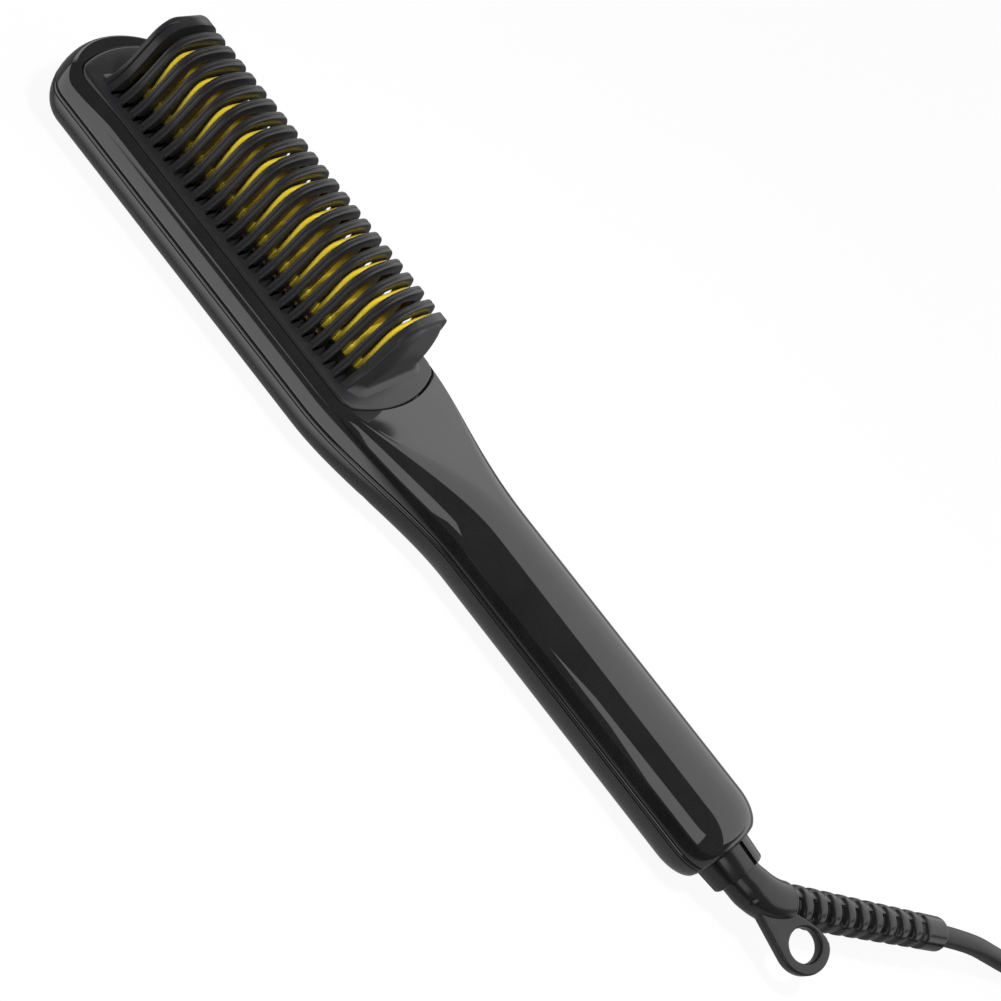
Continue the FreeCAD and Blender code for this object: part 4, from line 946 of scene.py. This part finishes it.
class STRAIGHTENER_OT_comb(bpy.types.Operator):
    """Builds the comb guard and the gold heated fins inside it"""
    bl_idname = "straightener.comb"
    bl_label = "Comb guard and fins"

    def execute(self, context):
        sizes = context.scene.straightener_comb
        tip_end = guard_end(FIRST_RIB, -1.0, draft=0.0, fillet=1.2, groove=0.6, edge=1.4, dome=0.0)
        neck_end = guard_end(last_rib(sizes), 1.0, draft=1.2, fillet=2.0, groove=0.15, edge=2.6, dome=1.2)
        guard = gather("guard_comb", [guard_base(sizes), guard_rib(sizes), tip_end, neck_end], 50.0)
        fit(guard, "housing", "satin_black", "comb_guard")
        fit(heated_fins(sizes), "housing", "gold_plate", "heater_plate")
        return {"FINISHED"}


def ink_bar(x, long_half, wide_half, shift=0.0):
    """Straight stroke of a printed mark, read from below."""
    ways = ((-1, -1), (1, -1), (1, 1), (-1, 1))
    corners = [(x + u * wide_half, v * long_half + shift) for u, v in ways]
    return straight("stroke", lambda inset: corners, *INK_LEVELS, "ink")


def ink_ring(x):
    """Open ring of the power mark."""
    low, high = INK_LEVELS
    inner, outer = 1.25, 1.65
    rings = []
    for angle in frange(125.0, 415.0, 40):
        rings.append([(*polar(r, radians(angle), x), z)
                      for r, z in ((inner, low), (outer, low), (outer, high), (inner, high))])
    return skin("stroke", rings, "ink")


def mark_strokes(name, x):
    """Strokes of a button's printed mark."""
    if name == "power":
        return [ink_ring(x), ink_bar(x, 0.22, 0.75, 1.15)]
    strokes = [ink_bar(x, 1.5, 0.28)]
    if name == "plus":
        strokes.append(ink_bar(x, 0.28, 1.5))
    return strokes


class STRAIGHTENER_OT_controls(bpy.types.Operator):
    """Builds the control panel on the back with its window and three buttons"""
    bl_idname = "straightener.controls"
    bl_label = "Panel, window and buttons"

    def execute(self, context):
        panel = prism("panel_plate", long_outline(14.0, 70.0, 6.0, 6.0, 14),
                      [(0.9, 0.35), (1.02, 0.1), (1.25, 0.0), (2.5, 0.0)], "satin")
        tools = [straight("window_hole", long_outline(18.9, 37.1, 4.1, 1.2), 0.0, 4.0, "satin")]
        for _, x, radius in BUTTONS:
            tools.append(prism("button_hole", disc_outline(x, 0.0, radius + BUTTON_GAP),
                               [(0.0, -0.2), (0.9, -0.2), (1.15, 0.0), (4.0, 0.0)], "satin"))
        carve(panel, tools)
        fit(panel, "housing", "satin_black", "control_panel")
        lens = prism("window_lens", long_outline(19.0, 37.0, 4.0, 1.1),
                     [(0.9, 0.35), (0.98, 0.12), (1.15, 0.0), (2.5, 0.0)], "lens")
        fit(lens, "housing", "smoked_lens", "display_lens")
        levels = [(0.5, 1.1), (0.53, 0.6), (0.64, 0.22), (0.85, 0.0), (2.55, 0.0), (2.56, -0.55),
                  (3.15, -0.55)]
        for name, x, radius in BUTTONS:
            cap = prism(name + "_cap", disc_outline(x, 0.0, radius, 56), levels, "button", 45.0)
            fit(cap, name + "_button", "button_black", name + "_button")
            fit(gather(name + "_mark", mark_strokes(name, x)), name + "_button", "button_black")
        return {"FINISHED"}


class STRAIGHTENER_OT_swivel(bpy.types.Operator):
    """Builds the collar and the swivelling boot with its loop and relief sleeve"""
    bl_idname = "straightener.swivel"
    bl_label = "Collar and boot"

    def execute(self, context):
        fit(collar_mesh(), "housing", "satin_black", "swivel_collar")
        boot = gather("cord_boot", [elbow_tube(), relief_sleeve(), loop_plate()], 45.0)
        fit(boot, "cord_swivel", "soft_black", "swivel_boot")
        return {"FINISHED"}


class STRAIGHTENER_OT_inside(bpy.types.Operator):
    """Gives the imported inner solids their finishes"""
    bl_idname = "straightener.inside"
    bl_label = "Inner pieces"

    def execute(self, context):
        kinds = {
            "ceramic": ("heater_element", "temperature_sensor"),
            "mica": ("insulating_sheet",),
            "steel": ("heater_clamp", "heater_screws", "thermal_fuse", "shell_screws"),
            "board": ("control_board",),
            "switch": ("tact_switches", "display_module", "contact_carrier"),
            "sleeve": ("heater_wires", "supply_wires"),
            "bronze": ("contact_springs", "slip_rings"),
            "satin": ("swivel_spindle",),
        }
        for finish, names in kinds.items():
            for name in names:
                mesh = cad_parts[name].data
                mesh.materials.clear()
                mesh.materials.append(finishes[finish])
        return {"FINISHED"}


def stage_sheet(name, finish, corners):
    """One flat stage piece."""
    mesh = bpy.data.meshes.new(name)
    mesh.from_pydata(corners, [], [tuple(range(len(corners)))])
    mesh.materials.append(finish)
    sheet = placed(name, mesh)
    return sheet


def lay_floor():
    """White sweep that keeps a soft shadow; gloss sees it glow in a painted reflection: a bright strip
    before the head, painted shade along the object, dark elsewhere.
    """
    paper = bpy.data.materials.new("white_paper_sweep")
    tree = bare_tree(paper)
    parts = axes(tree, "Object")
    # Painted reflection: the glow that glossy rays see is set by place on the floor, not by its lighting
    tip = ramp(tree, parts["X"], -0.13, -0.11, 1.0, 0.12)
    strip = ramp(tree, parts["Y"], -0.085, -0.075, tip, 1.0)
    # Painted shade: a dim band along the head, where the object's shadow would fall
    strip = ramp(tree, parts["Y"], -0.028, -0.022, strip, 0.2)
    # Painted shade before the handle: dim next to it, nearly black beyond
    shade = ramp(tree, parts["Y"], -0.04, -0.03, 0.02, 0.3)
    # The painted glow: the head's strip pattern on one side, the handle's painted shade on the other
    card = ramp(tree, parts["X"], 0.01, 0.03, strip, shade)
    camera, seen = ray_kinds(tree)
    plain = 0.93
    share = add(tree, "ShaderNodeMath", {0: camera, 1: plain, 2: seen}, operation="MULTIPLY_ADD")
    dull = add(tree, "ShaderNodeBsdfDiffuse", {"Color": linear("#f4f4f4")})
    glow = add(tree, "ShaderNodeEmission", {
        "Color": linear("#ffffff"), "Strength": blend(tree, seen, 1.0, card)})
    mix = add(tree, "ShaderNodeMixShader", {0: share.outputs[0], 1: dull.outputs[0], 2: glow.outputs[0]})
    add(tree, "ShaderNodeOutputMaterial", {"Surface": mix.outputs[0]})
    stage_sheet("floor", paper, [(x, y, -0.0003) for x, y in ((-4, -4), (4, -4), (4, 4), (-4, 4))])


def set_surroundings(context):
    """Low white walls behind the object and a dim room before it, white where the camera sees it."""
    world = bpy.data.worlds.new("studio")
    context.scene.world = world
    tree = bare_tree(world)
    parts = axes(tree, "Generated")
    low = ramp(tree, parts["Z"], 0.30, 0.34, 1.0, 0.1)
    wall = ramp(tree, parts["Y"], 0.0, 0.2, 0.1, low)
    camera, seen = ray_kinds(tree)
    fill = 0.32
    level = blend(tree, camera, blend(tree, seen, fill, wall), 1.0)
    back = add(tree, "ShaderNodeBackground", {"Color": linear("#ffffff"), "Strength": level})
    add(tree, "ShaderNodeOutputWorld", {"Surface": back.outputs[0]})


def set_cards():
    """Overhead softbox whose near edge draws the line along the handle, and the card for its stripe."""
    white = bpy.data.materials.new("white_card")
    tree = bare_tree(white)
    glow = add(tree, "ShaderNodeEmission", {"Color": linear("#ffffff"), "Strength": 1.0})
    add(tree, "ShaderNodeOutputMaterial", {"Surface": glow.outputs[0]})
    top = [(-0.02, -0.10), (-0.035, 0.10), (-0.10, 0.21), (-0.17, 0.40), (-0.25, 0.64), (-0.27, 1.2),
           (0.9, 1.2), (0.9, -0.28)]
    front = [(0.062, 0.16), (0.10, 0.28), (0.34, 0.34), (0.34, 0.05), (0.15, 0.055), (0.115, 0.15)]
    ceiling, before = 0.42, -0.511
    stage_sheet("overhead_softbox", white, [(x, y, ceiling) for x, y in top]).visible_camera = False
    stage_sheet("front_card", white, [(x, before, z) for x, z in front]).visible_camera = False


def set_comb_lamp():
    """Soft lamp over the comb that lights the fins between the ribs and draws no highlight."""
    place, aim = Vector((0.06, -0.11, 0.41)), Vector((-0.06, 0.0, 0.035))
    data = bpy.data.lights.new("comb_lamp", "AREA")
    data.size = 0.05
    data.energy = 1.5
    lamp = placed("comb_lamp", data)
    lamp.location = place
    lamp.rotation_euler = (aim - place).to_track_quat("-Z", "Y").to_euler()
    lamp.visible_glossy = False


class STRAIGHTENER_OT_stage(bpy.types.Operator):
    """Sets the white floor, the studio's surroundings, its cards and the lamp over the comb"""
    bl_idname = "straightener.stage"
    bl_label = "Floor, surroundings and lamps"

    def execute(self, context):
        context.scene.view_settings.view_transform = "Standard"
        lay_floor()
        set_surroundings(context)
        set_cards()
        set_comb_lamp()
        return {"FINISHED"}


class STRAIGHTENER_PT_panel(bpy.types.Panel):
    """Sizes, colours and building steps"""
    bl_label = "Beard straightener"
    bl_idname = "STRAIGHTENER_PT_panel"
    bl_space_type = "VIEW_3D"
    bl_region_type = "UI"
    bl_category = "Straightener"

    def draw(self, context):
        layout = self.layout
        for group in GROUPS:
            settings = getattr(context.scene, group)
            for key in settings.__annotations__:
                layout.prop(settings, key)
        for kind in OPERATORS:
            layout.operator(kind.bl_idname)


GROUPS = {
    "straightener_shell": ShellSizes,
    "straightener_comb": CombSizes,
    "straightener_cord": CordSizes,
    "straightener_colours": FinishColours,
}
OPERATORS = [
    STRAIGHTENER_OT_camera, STRAIGHTENER_OT_cord, STRAIGHTENER_OT_shells, STRAIGHTENER_OT_comb,
    STRAIGHTENER_OT_controls, STRAIGHTENER_OT_swivel, STRAIGHTENER_OT_inside, STRAIGHTENER_OT_stage,
]


def register():
    """Adds the classes and the scene's settings."""
    for name, kind in GROUPS.items():
        bpy.utils.register_class(kind)
        setattr(bpy.types.Scene, name, bpy.props.PointerProperty(type=kind))
    for kind in OPERATORS + [STRAIGHTENER_PT_panel]:
        bpy.utils.register_class(kind)


def unregister():
    """Removes what register added."""
    for kind in reversed(OPERATORS + [STRAIGHTENER_PT_panel]):
        bpy.utils.unregister_class(kind)
    for name, kind in GROUPS.items():
        delattr(bpy.types.Scene, name)
        bpy.utils.unregister_class(kind)


def main():
    """Builds everything in order."""
    register()
    finishes.update(make_finishes(bpy.context))
    bpy.ops.straightener.camera()
    bpy.ops.straightener.cord()
    bpy.ops.straightener.shells()
    bpy.ops.straightener.comb()
    bpy.ops.straightener.controls()
    bpy.ops.straightener.swivel()
    bpy.ops.straightener.inside()
    bpy.ops.straightener.stage()


if __name__ == "__main__":
    main()
